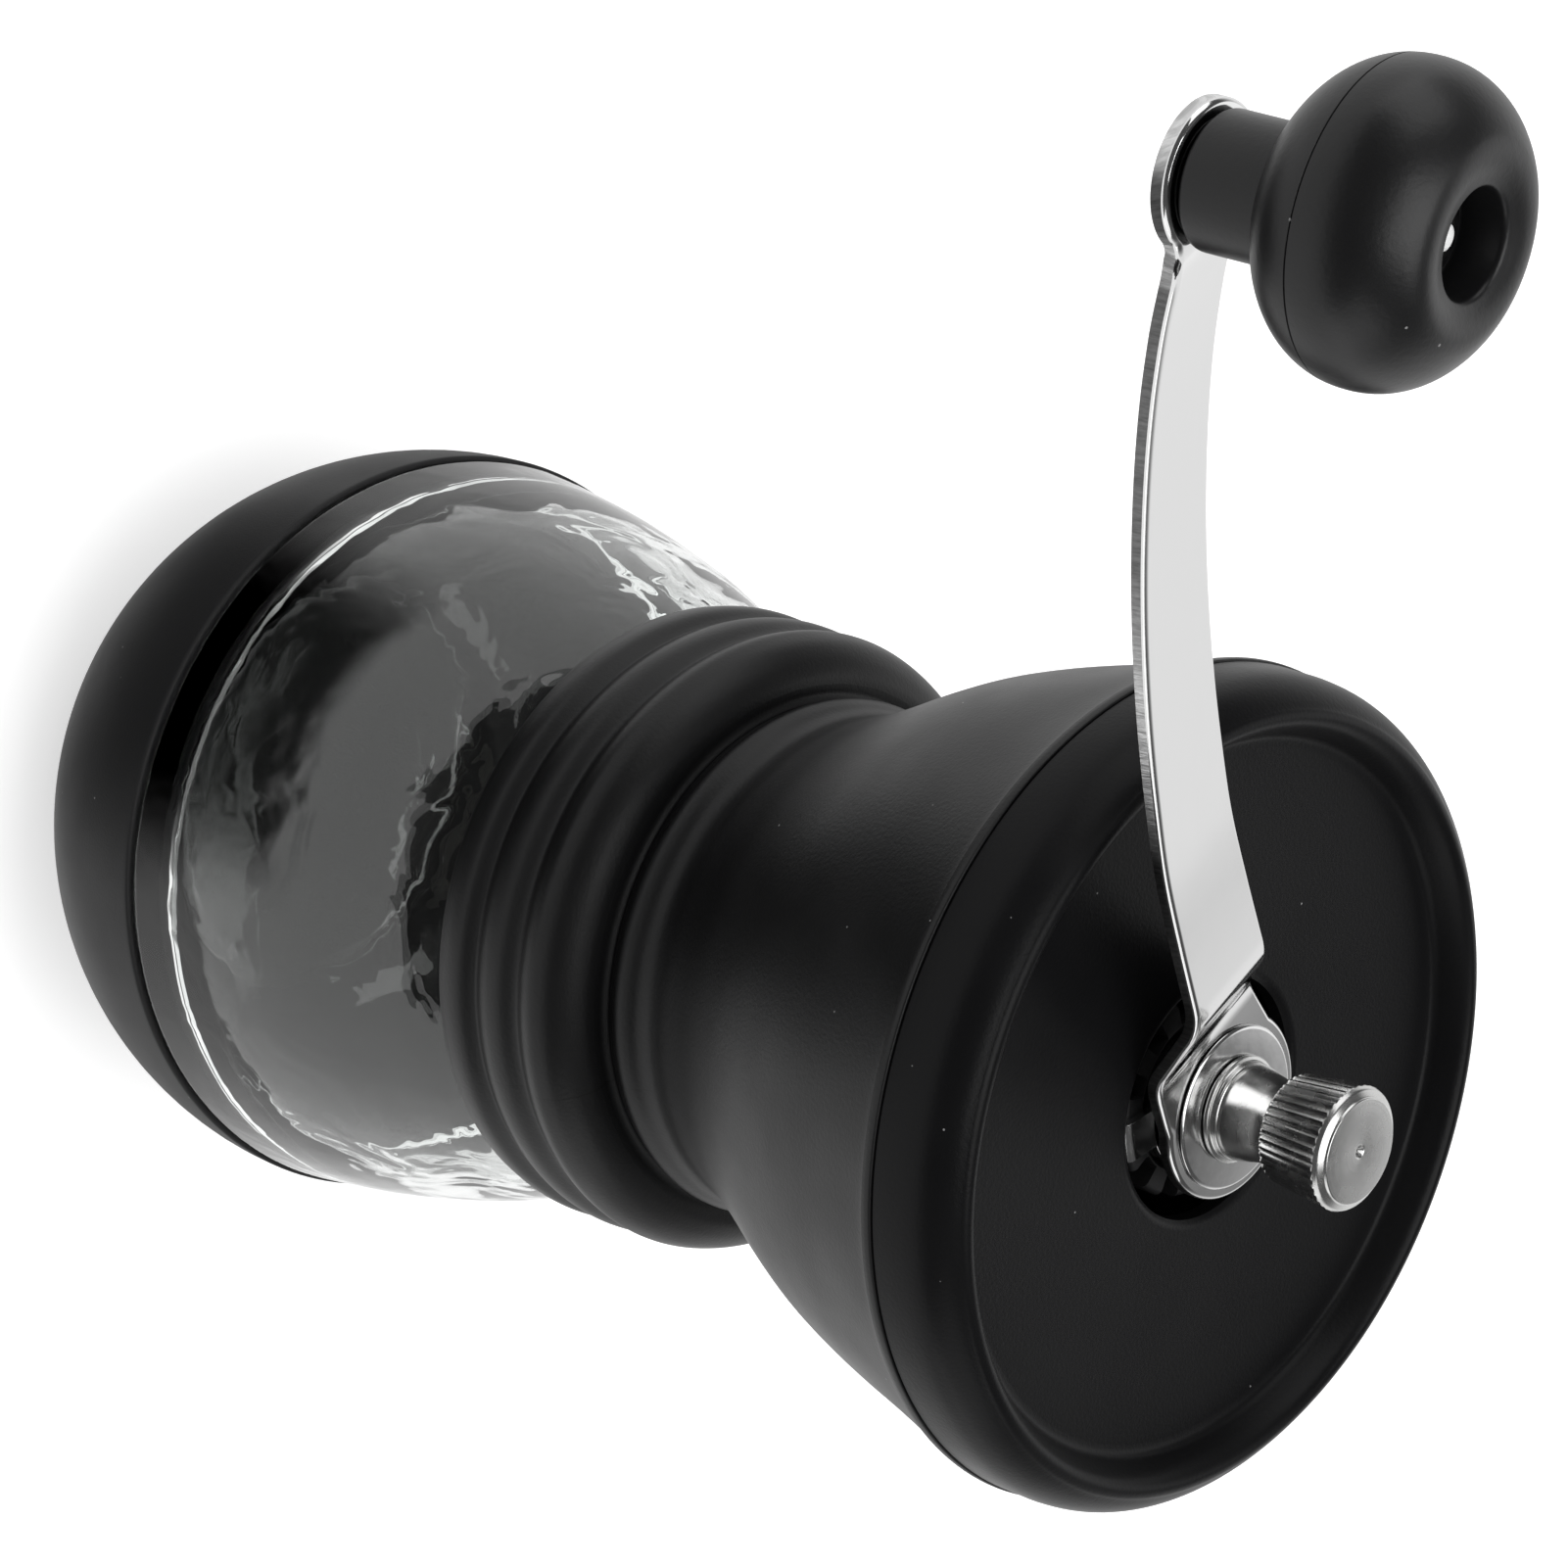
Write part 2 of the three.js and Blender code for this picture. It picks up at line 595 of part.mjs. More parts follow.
function crankArm() {
  const line = crankSideLine();
  const side = new THREE.Shape(line.map(([x, z]) => new THREE.Vector2(x, z)));
  side.lineTo(line[line.length - 1][0], line[line.length - 1][1] - SHEET);
  for (let i = line.length - 2; i >= 0; i--) {
    const before = line[Math.max(i - 1, 0)];
    const after = line[i + 1];
    const run = Math.hypot(after[0] - before[0], after[1] - before[1]);
    const dx = (SHEET * (after[1] - before[1])) / run;
    const dz = (SHEET * (after[0] - before[0])) / run;
    side.lineTo(line[i][0] + (i ? dx : 0), line[i][1] - (i ? dz : SHEET));
  }
  const width = 30;
  const strip = new THREE.ExtrudeGeometry(side, { depth: width, bevelEnabled: false });
  strip.rotateX(Math.PI / 2).translate(0, width / 2, 0);

  const eyeX = KNOB_X - EYE_H * Math.sin(KNOB_TILT);
  const plan = new THREE.Shape();
  const open = THREE.MathUtils.degToRad(62);
  plan.absarc(0, 0, HUB_R, open, 2 * Math.PI - open, false);
  plan.lineTo(RISER_FOOT_X, -RISER_FOOT_HALF);
  plan.lineTo(BLADE_X, -BLADE_HALF);
  plan.lineTo(BLADE_END_X, -BLADE_END_HALF);
  plan.lineTo(NECK_X, -NECK_HALF);
  plan.lineTo(NECK_FLARE_X, -NECK_FLARE_HALF);
  const meet = THREE.MathUtils.degToRad(114);
  plan.absarc(eyeX, 0, EYE_R, -meet, meet, false);
  plan.lineTo(NECK_FLARE_X, NECK_FLARE_HALF);
  plan.lineTo(NECK_X, NECK_HALF);
  plan.lineTo(BLADE_END_X, BLADE_END_HALF);
  plan.lineTo(BLADE_X, BLADE_HALF);
  plan.lineTo(RISER_FOOT_X, RISER_FOOT_HALF);
  plan.closePath();

  const hubHole = rod(SHAFT_R + 0.15, HUB_TOP_Z - 5, HUB_TOP_Z + 5, SMALL).intersect(
    block(12, FLATS_ACROSS + 0.3, 12, [0, 0, HUB_TOP_Z]),
  );
  const pinHole = rod(PIN_R + 0.05, -4, 4, TINY)
    .rotate([0, -THREE.MathUtils.radToDeg(KNOB_TILT), 0])
    .translate([eyeX, 0, KNOB_Z + EYE_H * Math.cos(KNOB_TILT)]);
  return solid(strip).intersect(slab(plan, 150, 210, 16)).subtract(hubHole).subtract(pinHole);
}

// Height of the knob's round outside at a radius.
function knobHeight(r) {
  const share = Math.min(r / KNOB_R, 1);
  return KNOB_HALF * Math.pow(1 - Math.pow(share, KNOB_SQUARENESS), 1 / KNOB_SQUARENESS);
}

function knobRadius(h) {
  const share = Math.abs(h) / KNOB_HALF;
  return KNOB_R * Math.pow(1 - Math.pow(share, KNOB_SQUARENESS), 1 / KNOB_SQUARENESS);
}

// The front shell: a round cap with a tube down its middle that ends on the bearing floor.
function knobFront() {
  const split = KNOB_SPLIT_H;
  const outside = [split, 1.8, 4.4, 6.2].map((h) => [knobRadius(h), h]);
  const top = [[7.6, knobHeight(7.6)], [6.9, 7.07], [6.1, 7.08]];
  const lip = [[KNOB_HOLE_R + 1.2, 6.85], [KNOB_HOLE_R + 0.3, 6.5], [KNOB_HOLE_R, 6.1]];
  const inside = [[8.3, 3.4], [9.6, split]];
  const bore = PIN_R + 0.1;
  return turn(
    [
      ...outside,
      ...top,
      ...lip,
      [KNOB_HOLE_R, KNOB_FLOOR_H],
      [bore, KNOB_FLOOR_H],
      [bore, KNOB_FLOOR_H - KNOB_WALL],
      [KNOB_HOLE_R + KNOB_WALL, KNOB_FLOOR_H - KNOB_WALL],
      ...inside,
    ],
    MEDIUM,
  );
}

function knobBack() {
  const split = KNOB_SPLIT_H - SEAT;
  const outside = [-7.8, -6.9, -5.4, -3.6].map((h) => [knobRadius(h), h]);
  const foot = -knobHeight(STEM_R) - 0.1;
  const seat = STEM_R - 1.9;
  const inner = [[9.5, split], [8.4, -4.4], [STEM_R + 1, -5.4], [seat, -5.4], [seat, foot]];
  return turn([[STEM_R - 0.2, foot], ...outside, [knobRadius(split), split], ...inner], MEDIUM);
}

function knobStem() {
  const bore = PIN_R + 0.1;
  const shoulder = -knobHeight(STEM_R) - 0.2;
  return turn(
    [
      [bore, STEM_FOOT_H],
      [STEM_R - 0.4, STEM_FOOT_H],
      [STEM_R, STEM_FOOT_H + 0.4],
      [STEM_R, shoulder],
      [STEM_R - 2, shoulder],
      [STEM_R - 2, -4.4],
      [bore, -4.4],
    ],
    SMALL,
  );
}

// The rivet: a flat head under the eye, a plain shank and a peened end over the clip.
function knobPin() {
  const under = EYE_H - SHEET - SEAT;
  const end = KNOB_FLOOR_H + SEAT + 0.7;
  const head = [[0, under - 1.2], [2.6, under - 1.2], [3.2, under - 0.7], [3.2, under]];
  const peened = [[2.2, end + 0.05], [2.2, end + 0.2], [0.95, end + 0.25], [0.95, end + 0.65], [0, end + 0.75]];
  return turn([...head, [PIN_R, under], [PIN_R, end], ...peened], TINY);
}

// The knurled head is turned with two facets for each knurl, and every second edge is drawn in.
function knurledHead(outline, foot, top) {
  const geometry = new THREE.LatheGeometry(outline.map(([r, z]) => new THREE.Vector2(r, z)), KNURLS * 2);
  geometry.rotateX(Math.PI / 2);
  const place = geometry.attributes.position;
  for (let i = 0; i < place.count; i++) {
    const valley = Math.floor(i / outline.length) % 2 === 1;
    const r = Math.hypot(place.getX(i), place.getY(i));
    const inGrip = place.getZ(i) > foot && place.getZ(i) < top;
    if (valley && inGrip) {
      const scale = (r - KNURL_DEPTH) / r;
      place.setX(i, place.getX(i) * scale);
      place.setY(i, place.getY(i) * scale);
    }
  }
  return solid(geometry);
}

// The thumb nut: a flanged skirt with two turned rings, a waist and a straight-knurled head.
function thumbNut() {
  const foot = THUMB_FOOT_Z;
  const bore = SHAFT_R + SEAT;
  const flange = [[THUMB_FLANGE_R, foot], [THUMB_FLANGE_R, foot + 0.5]];
  const rings = [[5, foot + 0.8], [5.2, foot + 1.3], [4.9, foot + 1.7], [4.9, foot + 2]];
  const waistTop = THUMB_NECK_Z + 1.4;
  const waist = [[THUMB_NECK_R, THUMB_NECK_Z], [THUMB_NECK_R, waistTop], [0, waistTop]];
  const stem = turn([[0, foot], ...flange, ...rings, ...waist], SMALL);
  const headFoot = THUMB_NECK_Z + 1;
  const head = knurledHead(
    [
      [0, headFoot],
      [5, headFoot],
      [5.75, headFoot + 0.8],
      [THUMB_GRIP_R, THUMB_TOP_Z - 1.2],
      [5.5, THUMB_TOP_Z - 0.2],
      [5.4, THUMB_TOP_Z],
      [0, THUMB_TOP_Z],
    ],
    headFoot + 0.4,
    THUMB_TOP_Z - 0.5,
  );
  return stem.add(head).subtract(rod(bore, foot - 1, SHAFT_TOP_Z + 0.5, SMALL));
}

piece("base_cup", baseCup(), rubber);
piece("glass_jar", glassJar(), glass);
piece("jar_gasket", ring(28.2, 32.4, NECK_TOP_Z + SEAT, COLLAR_WEB_Z - SEAT, MEDIUM), silicone);

piece("collar", collar(), plastic);
piece("hopper", hopper(), plastic);
piece("top_bridge", topBridge(), plastic);
piece("low_bridge", lowBridge(), plastic);
piece("upper_bush", bush(TOP_BRIDGE_Z - 2, TOP_BRIDGE_HUB_Z), acetal);
piece("lower_bush", bush(LOW_BUSH_FOOT_Z, LOW_BRIDGE_HUB_Z), acetal);
piece("outer_burr", outerBurr(), ceramic);
piece("burr_holder", burrHolder(), plastic);
for (let i = 0; i < 3; i++) {
  const screw = spun(holderScrew().translate([SCREW_CIRCLE_R, 0, 0]), 120 * i);
  piece(`holder_screw_${i + 1}`, screw, steel);
}

piece("lid", lid(), plastic);

piece("adjusting_nut", adjustingNut(), plastic);
piece("lock_plate", lockPlate(), steel);

const washerZ = BURR_CONE_TOP_Z + 0.6 + SEAT;
piece("spring_washer", ring(SHAFT_R + 0.2, 6.2, washerZ, washerZ + 0.8, SMALL), steel);
piece("burr_spring", burrSpring(washerZ + 0.8 + SEAT, LOW_BUSH_FOOT_Z - SEAT), steel);

piece("drive_shaft", driveShaft(), turned);
piece("inner_burr", innerBurr(), ceramic);
piece("burr_carrier", burrCarrier(), plastic);
piece("shaft_clip", shaftClip(), steel);
piece("crank_arm", crankArm(), steel);
piece("knob_pin", knobPin(), steel, knobAxis);
piece("knob_washer", ring(PIN_R + 0.1, 4.6, EYE_H + SEAT, STEM_FOOT_H - SEAT, SMALL), plastic, knobAxis);

piece("nut_washer", ring(SHAFT_R + 0.2, 8.6, HUB_TOP_Z + SEAT, THUMB_FOOT_Z - SEAT, MEDIUM), steel);
piece("thumb_nut", thumbNut(), turned);

piece("knob_stem", knobStem(), plastic, knobAxis);
piece("knob_back", knobBack(), plastic, knobAxis);
piece("knob_front", knobFront(), plastic, knobAxis);
piece("knob_clip", ring(PIN_R + 0.05, 3.4, KNOB_FLOOR_H + 0.05, KNOB_FLOOR_H + 0.65, SMALL), steel, knobAxis);

export default grinder;
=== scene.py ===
# %% [markdown]
# # A hand-cranked coffee grinder
#
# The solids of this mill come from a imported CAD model: a rubber cup, a glass jar, a ribbed collar, a flared
# hopper with a lid, and a bent steel crank with a knob. This notebook dresses them. The CAD solids have few
# facets, so each one that the eye can find gets a finer piece in the same place, with the rounded edges, the
# knurling and the surface of the real thing. Everything is in metres here, and outlines are written in
# millimetres and turned to metres by one function.

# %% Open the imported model
import math

import bmesh
import bpy
import numpy as np
from mathutils import Matrix, Vector


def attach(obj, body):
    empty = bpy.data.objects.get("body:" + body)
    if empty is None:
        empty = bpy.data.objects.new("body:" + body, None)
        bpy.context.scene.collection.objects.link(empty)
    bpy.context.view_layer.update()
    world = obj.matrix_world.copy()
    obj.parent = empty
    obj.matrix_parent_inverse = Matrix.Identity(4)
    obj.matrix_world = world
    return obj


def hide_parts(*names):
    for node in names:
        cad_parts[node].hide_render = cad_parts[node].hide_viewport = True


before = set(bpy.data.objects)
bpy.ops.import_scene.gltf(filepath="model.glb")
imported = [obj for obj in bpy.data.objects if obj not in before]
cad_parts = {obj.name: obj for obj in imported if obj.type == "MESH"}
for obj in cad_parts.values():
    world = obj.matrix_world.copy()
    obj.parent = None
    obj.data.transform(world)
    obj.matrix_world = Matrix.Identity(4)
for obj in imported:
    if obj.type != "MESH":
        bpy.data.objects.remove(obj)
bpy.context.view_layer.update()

# %% [markdown]
# ## The camera
#
# The photograph shows the mill lying down, with its lid towards the lens. The mill stands upright here, so the
# camera is the one that is rolled. Its place was solved from the circles of the lid, the collar and the cup.
# Three axes say how it is turned: where the picture's right and up point, and the way back out to the lens.

# %% Place the camera
LENS_MM = 78.7
CAMERA_AT = Vector((0.241512, 0.155048, 0.355709))
PICTURE_RIGHT = Vector((-0.35051, -0.62131, 0.70080))
PICTURE_UP = Vector((0.72607, -0.65292, -0.21571))

lens = bpy.data.cameras.new("lens")
lens.lens = LENS_MM
lens.sensor_width = 36.0
lens.clip_start = 0.02
lens.clip_end = 30.0
camera = bpy.data.objects.new("camera", lens)
bpy.context.scene.collection.objects.link(camera)
picture_back = PICTURE_RIGHT.cross(PICTURE_UP).normalized()
picture_up = picture_back.cross(PICTURE_RIGHT).normalized()
turned = Matrix((PICTURE_RIGHT.normalized(), picture_up, picture_back)).transposed()
camera.matrix_world = Matrix.Translation(CAMERA_AT) @ turned.to_4x4()
bpy.context.scene.camera = camera
print("camera looks along", [round(x, 3) for x in -picture_back])

# %% [markdown]
# ## Two helpers for materials
#
# A colour is easiest to name as the hex value that a picture shows, but a shader works in linear light, so one
# function turns the one into the other. The second helper adds a node, sets it and links it in one line. Where
# an input is given a whole node, that node's first output is meant.

# %% Colours and nodes
def linear(hex_colour):
    parts = [int(hex_colour[i:i + 2], 16) / 255 for i in (1, 3, 5)]
    return tuple(p / 12.92 if p <= 0.04045 else ((p + 0.055) / 1.055) ** 2.4 for p in parts) + (1.0,)


def add(tree, kind, inputs=None, **settings):
    made = tree.nodes.new(kind)
    for name, value in settings.items():
        setattr(made, name, value)
    for name, value in (inputs or {}).items():
        if isinstance(value, bpy.types.Node):
            value = value.outputs[0]
        if isinstance(value, bpy.types.NodeSocket):
            tree.links.new(value, made.inputs[name])
        else:
            made.inputs[name].default_value = value
    return made


def per_mm(size):
    """The texture scale that makes one feature of a pattern this many millimetres wide."""
    return 1000.0 / size


print("mid grey is", round(linear("#808080")[0], 3), "in linear light")

# %% [markdown]
# ## The room
#
# The mill was photographed in a dark studio with a white backdrop behind it. That is why its black plastic is
# darkest where it faces the lens and turns grey only towards its edges. A world shader can say the same thing.
# The lens finds white everywhere. A ray that gloss or glass sends out finds white behind the mill, near dark
# on the lens's side, and one bright panel far off to the side. Plain light falls on everything else.

# %% Light the room from the world
WHITE = (1.0, 1.0, 1.0, 1.0)
PANEL_WAY = Vector((-0.48, -0.72, 0.50)).normalized()
PANEL_LEVEL = 1.2
PLAIN_LEVEL = 0.7

world = bpy.data.worlds.new("white backdrop in a dark studio")
bpy.context.scene.world = world
world.use_nodes = True
tree = world.node_tree
tree.nodes.clear()
ray = add(tree, "ShaderNodeLightPath")
way = add(tree, "ShaderNodeTexCoord").outputs["Generated"]
to_lens = add(tree, "ShaderNodeVectorMath", {0: way, 1: picture_back}, operation="DOT_PRODUCT")
backdrop = add(tree, "ShaderNodeMapRange", {
    "Value": to_lens.outputs["Value"], "From Min": -0.55, "From Max": -0.1, "To Min": 1.0, "To Max": 0.08,
}, interpolation_type="SMOOTHSTEP")
to_panel = add(tree, "ShaderNodeVectorMath", {0: way, 1: PANEL_WAY}, operation="DOT_PRODUCT")
panel = add(tree, "ShaderNodeMapRange", {
    "Value": to_panel.outputs["Value"], "From Min": 0.94, "From Max": 0.975, "To Min": 0.0,
    "To Max": PANEL_LEVEL}, interpolation_type="SMOOTHSTEP")
room = add(tree, "ShaderNodeMath", {0: backdrop, 1: panel}, operation="MAXIMUM")
mirrored = add(tree, "ShaderNodeMath", {
    0: ray.outputs["Is Glossy Ray"], 1: ray.outputs["Is Transmission Ray"]}, operation="MAXIMUM")
sought = add(tree, "ShaderNodeMath", {0: mirrored, 1: ray.outputs["Is Camera Ray"]}, operation="MAXIMUM")
plain = add(tree, "ShaderNodeMath", {0: 1.0, 1: sought}, operation="SUBTRACT")
fill = add(tree, "ShaderNodeMath", {0: plain, 1: PLAIN_LEVEL}, operation="MULTIPLY")
reflected = add(tree, "ShaderNodeMath", {0: mirrored, 1: room}, operation="MULTIPLY")
shown = add(tree, "ShaderNodeMath", {0: reflected, 1: ray.outputs["Is Camera Ray"]}, operation="MAXIMUM")
sky_level = add(tree, "ShaderNodeMath", {0: shown, 1: fill}, operation="ADD")
sky = add(tree, "ShaderNodeBackground", {"Color": WHITE, "Strength": sky_level})
add(tree, "ShaderNodeOutputWorld", {"Surface": sky})
bpy.context.scene.view_settings.view_transform = "Standard"
print("world nodes:", len(tree.nodes))

# %% [markdown]
# ## The floor
#
# A pale floor carries the mill and its soft shadow. To the lens it is white paper with a little light of its
# own, and to plain light it is just paper. To gloss and glass it glows with a painted reflection of the
# studio:
# white, with a dark wedge on the lens's side, and a little brighter on the lower side of the picture. Each
# change of level is a smooth step, and the wedge is three of them multiplied.

# %% Lay the floor
FLOOR_REACH = 4.0
FLOOR_GLOW = 0.5
DARK_AZIMUTH = math.radians(19)
floor_paint = bpy.data.materials.new("matt white backdrop paper")
floor_paint.use_nodes = True
tree = floor_paint.node_tree
tree.nodes.clear()
ray = add(tree, "ShaderNodeLightPath")
place = add(tree, "ShaderNodeTexCoord").outputs["Object"]
bearing = add(tree, "ShaderNodeVectorMath", {0: place}, operation="NORMALIZE")
to_lens = add(tree, "ShaderNodeVectorMath", {
    0: bearing, 1: (math.cos(DARK_AZIMUTH), math.sin(DARK_AZIMUTH), 0)}, operation="DOT_PRODUCT")
to_low_side = add(tree, "ShaderNodeVectorMath", {
    0: bearing, 1: (-math.sin(DARK_AZIMUTH), math.cos(DARK_AZIMUTH), 0)}, operation="DOT_PRODUCT")
distance = add(tree, "ShaderNodeVectorMath", {0: place}, operation="LENGTH")
# Painted reflection: for gloss and glass rays the floor glows white, with a dark wedge and a brighter low
# side.
near_end, far_end, facing, brighter_low_side = (
    add(tree, "ShaderNodeMapRange", {
        "Value": value.outputs["Value"], "From Min": start, "From Max": end, "To Min": first, "To Max": last,
    }, interpolation_type="SMOOTHSTEP")
    for value, start, end, first, last in (
        (distance, 0.030, 0.062, 0.0, 1.0), (distance, 0.165, 0.225, 1.0, 0.0),
        (to_lens, 0.62, 0.93, 0.0, 1.0), (to_low_side, 0.2, 0.8, 1.0, 1.12)))
span = add(tree, "ShaderNodeMath", {0: near_end, 1: far_end}, operation="MULTIPLY")
wedge = add(tree, "ShaderNodeMath", {0: span, 1: facing}, operation="MULTIPLY")
not_dark = add(tree, "ShaderNodeMath", {0: 1.0, 1: wedge}, operation="SUBTRACT")
painted_studio_reflection = add(tree, "ShaderNodeMath", {0: not_dark, 1: brighter_low_side}, operation="MULTIPLY")
capped = add(tree, "ShaderNodeMath", {0: painted_studio_reflection, 1: 1.0}, operation="MINIMUM")
painted_reflection_level = add(tree, "ShaderNodeMix", {
    "Factor": ray.outputs["Is Transmission Ray"], "A": painted_studio_reflection, "B": capped}, data_type="FLOAT")
painted_reflection_glow = add(tree, "ShaderNodeEmission", {"Color": WHITE, "Strength": painted_reflection_level})
paper = add(tree, "ShaderNodeBsdfDiffuse", {"Color": linear("#e4e4e4")})
own_light = add(tree, "ShaderNodeEmission", {"Color": WHITE, "Strength": FLOOR_GLOW})
lit_paper = add(tree, "ShaderNodeAddShader", {0: paper, 1: own_light})
mirrored = add(tree, "ShaderNodeMath", {
    0: ray.outputs["Is Glossy Ray"], 1: ray.outputs["Is Transmission Ray"]}, operation="MAXIMUM")
to_camera = add(tree, "ShaderNodeMixShader", {"Fac": ray.outputs["Is Camera Ray"], 1: paper, 2: lit_paper})
mixed = add(tree, "ShaderNodeMixShader", {"Fac": mirrored, 1: to_camera, 2: painted_reflection_glow})
add(tree, "ShaderNodeOutputMaterial", {"Surface": mixed})

floor_mesh = bpy.data.meshes.new("floor")
floor_corners = [(x * FLOOR_REACH, y * FLOOR_REACH, 0) for x, y in ((-1, -1), (1, -1), (1, 1), (-1, 1))]
floor_mesh.from_pydata(floor_corners, [], [(0, 1, 2, 3)])
floor_mesh.materials.append(floor_paint)
floor = bpy.data.objects.new("floor", floor_mesh)
bpy.context.scene.collection.objects.link(floor)
print("floor is", 2 * FLOOR_REACH, "m across")

# %% [markdown]
# ## The lamps
#
# Two large soft boxes stand to either side of the mill as the picture shows it. They draw the broad grey bands
# along the hopper, the collar and the cup. A third, overhead, gives the floor its soft shadow.

# %% Hang the lamps
def soft_box(name, place, aim, size, watts):
    light = bpy.data.lights.new(name, "AREA")
    light.shape = "RECTANGLE"
    light.size, light.size_y = size
    light.energy = watts
    lamp = bpy.data.objects.new(name, light)
    lamp.location = place
    lamp.rotation_euler = (Vector(aim) - Vector(place)).to_track_quat("-Z", "Y").to_euler()
    bpy.context.scene.collection.objects.link(lamp)


MIDDLE = (0.02, 0.0, 0.12)
soft_box("soft_box_top", (0.9, -0.75, 0.55), MIDDLE, (0.8, 1.0), 4.0)
soft_box("soft_box_low", (-0.75, 0.95, 0.5), MIDDLE, (0.8, 1.0), 3.0)
soft_box("overhead", (0.1, 0.05, 1.35), MIDDLE, (0.9, 0.9), 8.0)

# %% [markdown]
# ## Round pieces
#
# Nearly every piece of the mill was turned or moulded round one axis. Such a piece is an outline spun into a
# skin. Blender's Spin tool would do, but writing the rings out in code keeps the seam closed and lets a
# knurl or a thread be worked into the rings. An outline lists a radius and a height, and a third number
# there rounds that corner off.

# %% Outlines
def rounded(corners, steps=4):
    """A line through [radius, height] corners. A third number is how far the corner is rounded off."""
    line = []
    for i, corner in enumerate(corners):
        here = Vector(corner[:2])
        ease = corner[2] if len(corner) > 2 else 0
        if not ease or i in (0, len(corners) - 1):
            line.append(tuple(here))
            continue
        back = Vector(corners[i - 1][:2]) - here
        on = Vector(corners[i + 1][:2]) - here
        start = here + back.normalized() * min(ease, back.length * 0.48)
        end = here + on.normalized() * min(ease, on.length * 0.48)
        for k in range(steps + 1):
            t = k / steps
            line.append(tuple(start * (1 - t) ** 2 + here * 2 * t * (1 - t) + end * t ** 2))
    return line


def flowing(points, steps=6):
    """A smooth line through every point given."""
    padded = [points[0], *points, points[-1]]
    line = []
    for i in range(1, len(padded) - 2):
        a, b, c, d = (Vector(p) for p in padded[i - 1:i + 3])
        for k in range(steps):
            t = k / steps
            line.append(tuple(0.5 * (2 * b + (c - a) * t + (2 * a - 5 * b + 4 * c - d) * t * t
                                     + (3 * b - a - 3 * c + d) * t ** 3)))
    return [*line, tuple(points[-1])]


def arc(middle, radius, start, end, steps=10):
    """Part of a circle, with its angles in degrees from outwards towards up."""
    angles = [math.radians(start + (end - start) * k / steps) for k in range(steps + 1)]
    return [(middle[0] + radius * math.cos(a), middle[1] + radius * math.sin(a)) for a in angles]


print("a rounded corner has", len(rounded([(0, 0), (1, 0, 0.2), (1, 1)])), "points")

# %% [markdown]
# Three more helpers make the pieces and finish them. The first closes a mesh and keeps its creases sharp. The
# second writes the rings of a round piece. The third names the body that carries the piece and the solids that
# it stands for.

# %% Skins from outlines
MM = 0.001


def skin(name, points, faces, sharp=35.0):
    """A closed mesh from points in millimetres, with its faces turned outwards and its creases kept sharp."""
    mesh = bpy.data.meshes.new(name)
    mesh.from_pydata([tuple(c * MM for c in p) for p in points], [], faces)
    work = bmesh.new()
    work.from_mesh(mesh)
    bmesh.ops.remove_doubles(work, verts=work.verts, dist=1e-7)
    bmesh.ops.recalc_face_normals(work, faces=work.faces)
    work.to_mesh(mesh)
    work.free()
    mesh.shade_smooth()
    mesh.set_sharp_from_angle(angle=math.radians(sharp))
    made = bpy.data.objects.new(name, mesh)
    bpy.context.scene.collection.objects.link(made)
    return made


def spun(name, outline, sides=160, shape=None, sharp=35.0):
    """Spins an outline round the Z axis. shape may move each point: it gets the radius, height and angle."""
    ends_on_axis = outline[0][0] < 1e-6 and outline[-1][0] < 1e-6
    points, rings, faces = [], [], []
    for r, z in outline:
        if r < 1e-6:
            rings.append([len(points)] * sides)
            points.append((0.0, 0.0, z))
            continue
        rings.append(list(range(len(points), len(points) + sides)))
        for k in range(sides):
            a = 2 * math.pi * k / sides
            rr, zz = shape(r, z, a) if shape else (r, z)
            points.append((rr * math.cos(a), rr * math.sin(a), zz))
    last = len(rings) - 1 if ends_on_axis else len(rings)
    for i in range(last):
        one, two = rings[i], rings[(i + 1) % len(rings)]
        for k in range(sides):
            n = (k + 1) % sides
            corners = [one[k], one[n], two[n], two[k]]
            face = [c for j, c in enumerate(corners) if c != corners[j - 1]]
            if len(face) > 2:
                faces.append(face)
    return skin(name, points, faces, sharp)


def settle(piece, body, slot, material, *nodes):
    """Gives a piece its finish, its body and the solids that it stands for."""
    if material:
        piece.data.materials.append(material)
    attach(piece, body)
    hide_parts(*nodes)
    print(piece.name, len(piece.data.vertices), "points")
    return piece


print("outlines are in millimetres; one is", MM, "m")

# %% [markdown]
# ## Moulded black plastic
#
# The hopper, collar and lid are polypropylene from a spark-eroded mould, so they are satin black with a fine
# grain that shows only where light rakes over it. The grain is about 0.4 mm, and a little dust has settled.
# A noise makes the grain through a bump, a wider noise lets the gloss vary, and a Voronoi pattern whose cells
# are mostly empty makes the specks. A thin line marks where the mould's halves met.

# %% The plastic and the mark of its mould
DUST_CELL_MM, DUST_SPECK_MM, DUST_SHARE = 4.0, 0.24, 0.3
CLOUD_MM = 14
SEAM_HALF_MM = 0.075


def dust(tree, place):
    """A mask with a small round speck in some of the cells."""
    cells = add(tree, "ShaderNodeTexVoronoi", {
        "Vector": place, "Scale": per_mm(DUST_CELL_MM), "Randomness": 1.0})
    near = add(tree, "ShaderNodeMath", {
        0: cells.outputs["Distance"], 1: DUST_SPECK_MM / DUST_CELL_MM / 2}, operation="LESS_THAN")
    split = add(tree, "ShaderNodeSeparateColor", {"Color": cells.outputs["Color"]})
    few = add(tree, "ShaderNodeMath", {0: split.outputs["Red"], 1: DUST_SHARE}, operation="LESS_THAN")
    return add(tree, "ShaderNodeMath", {0: near, 1: few}, operation="MULTIPLY")


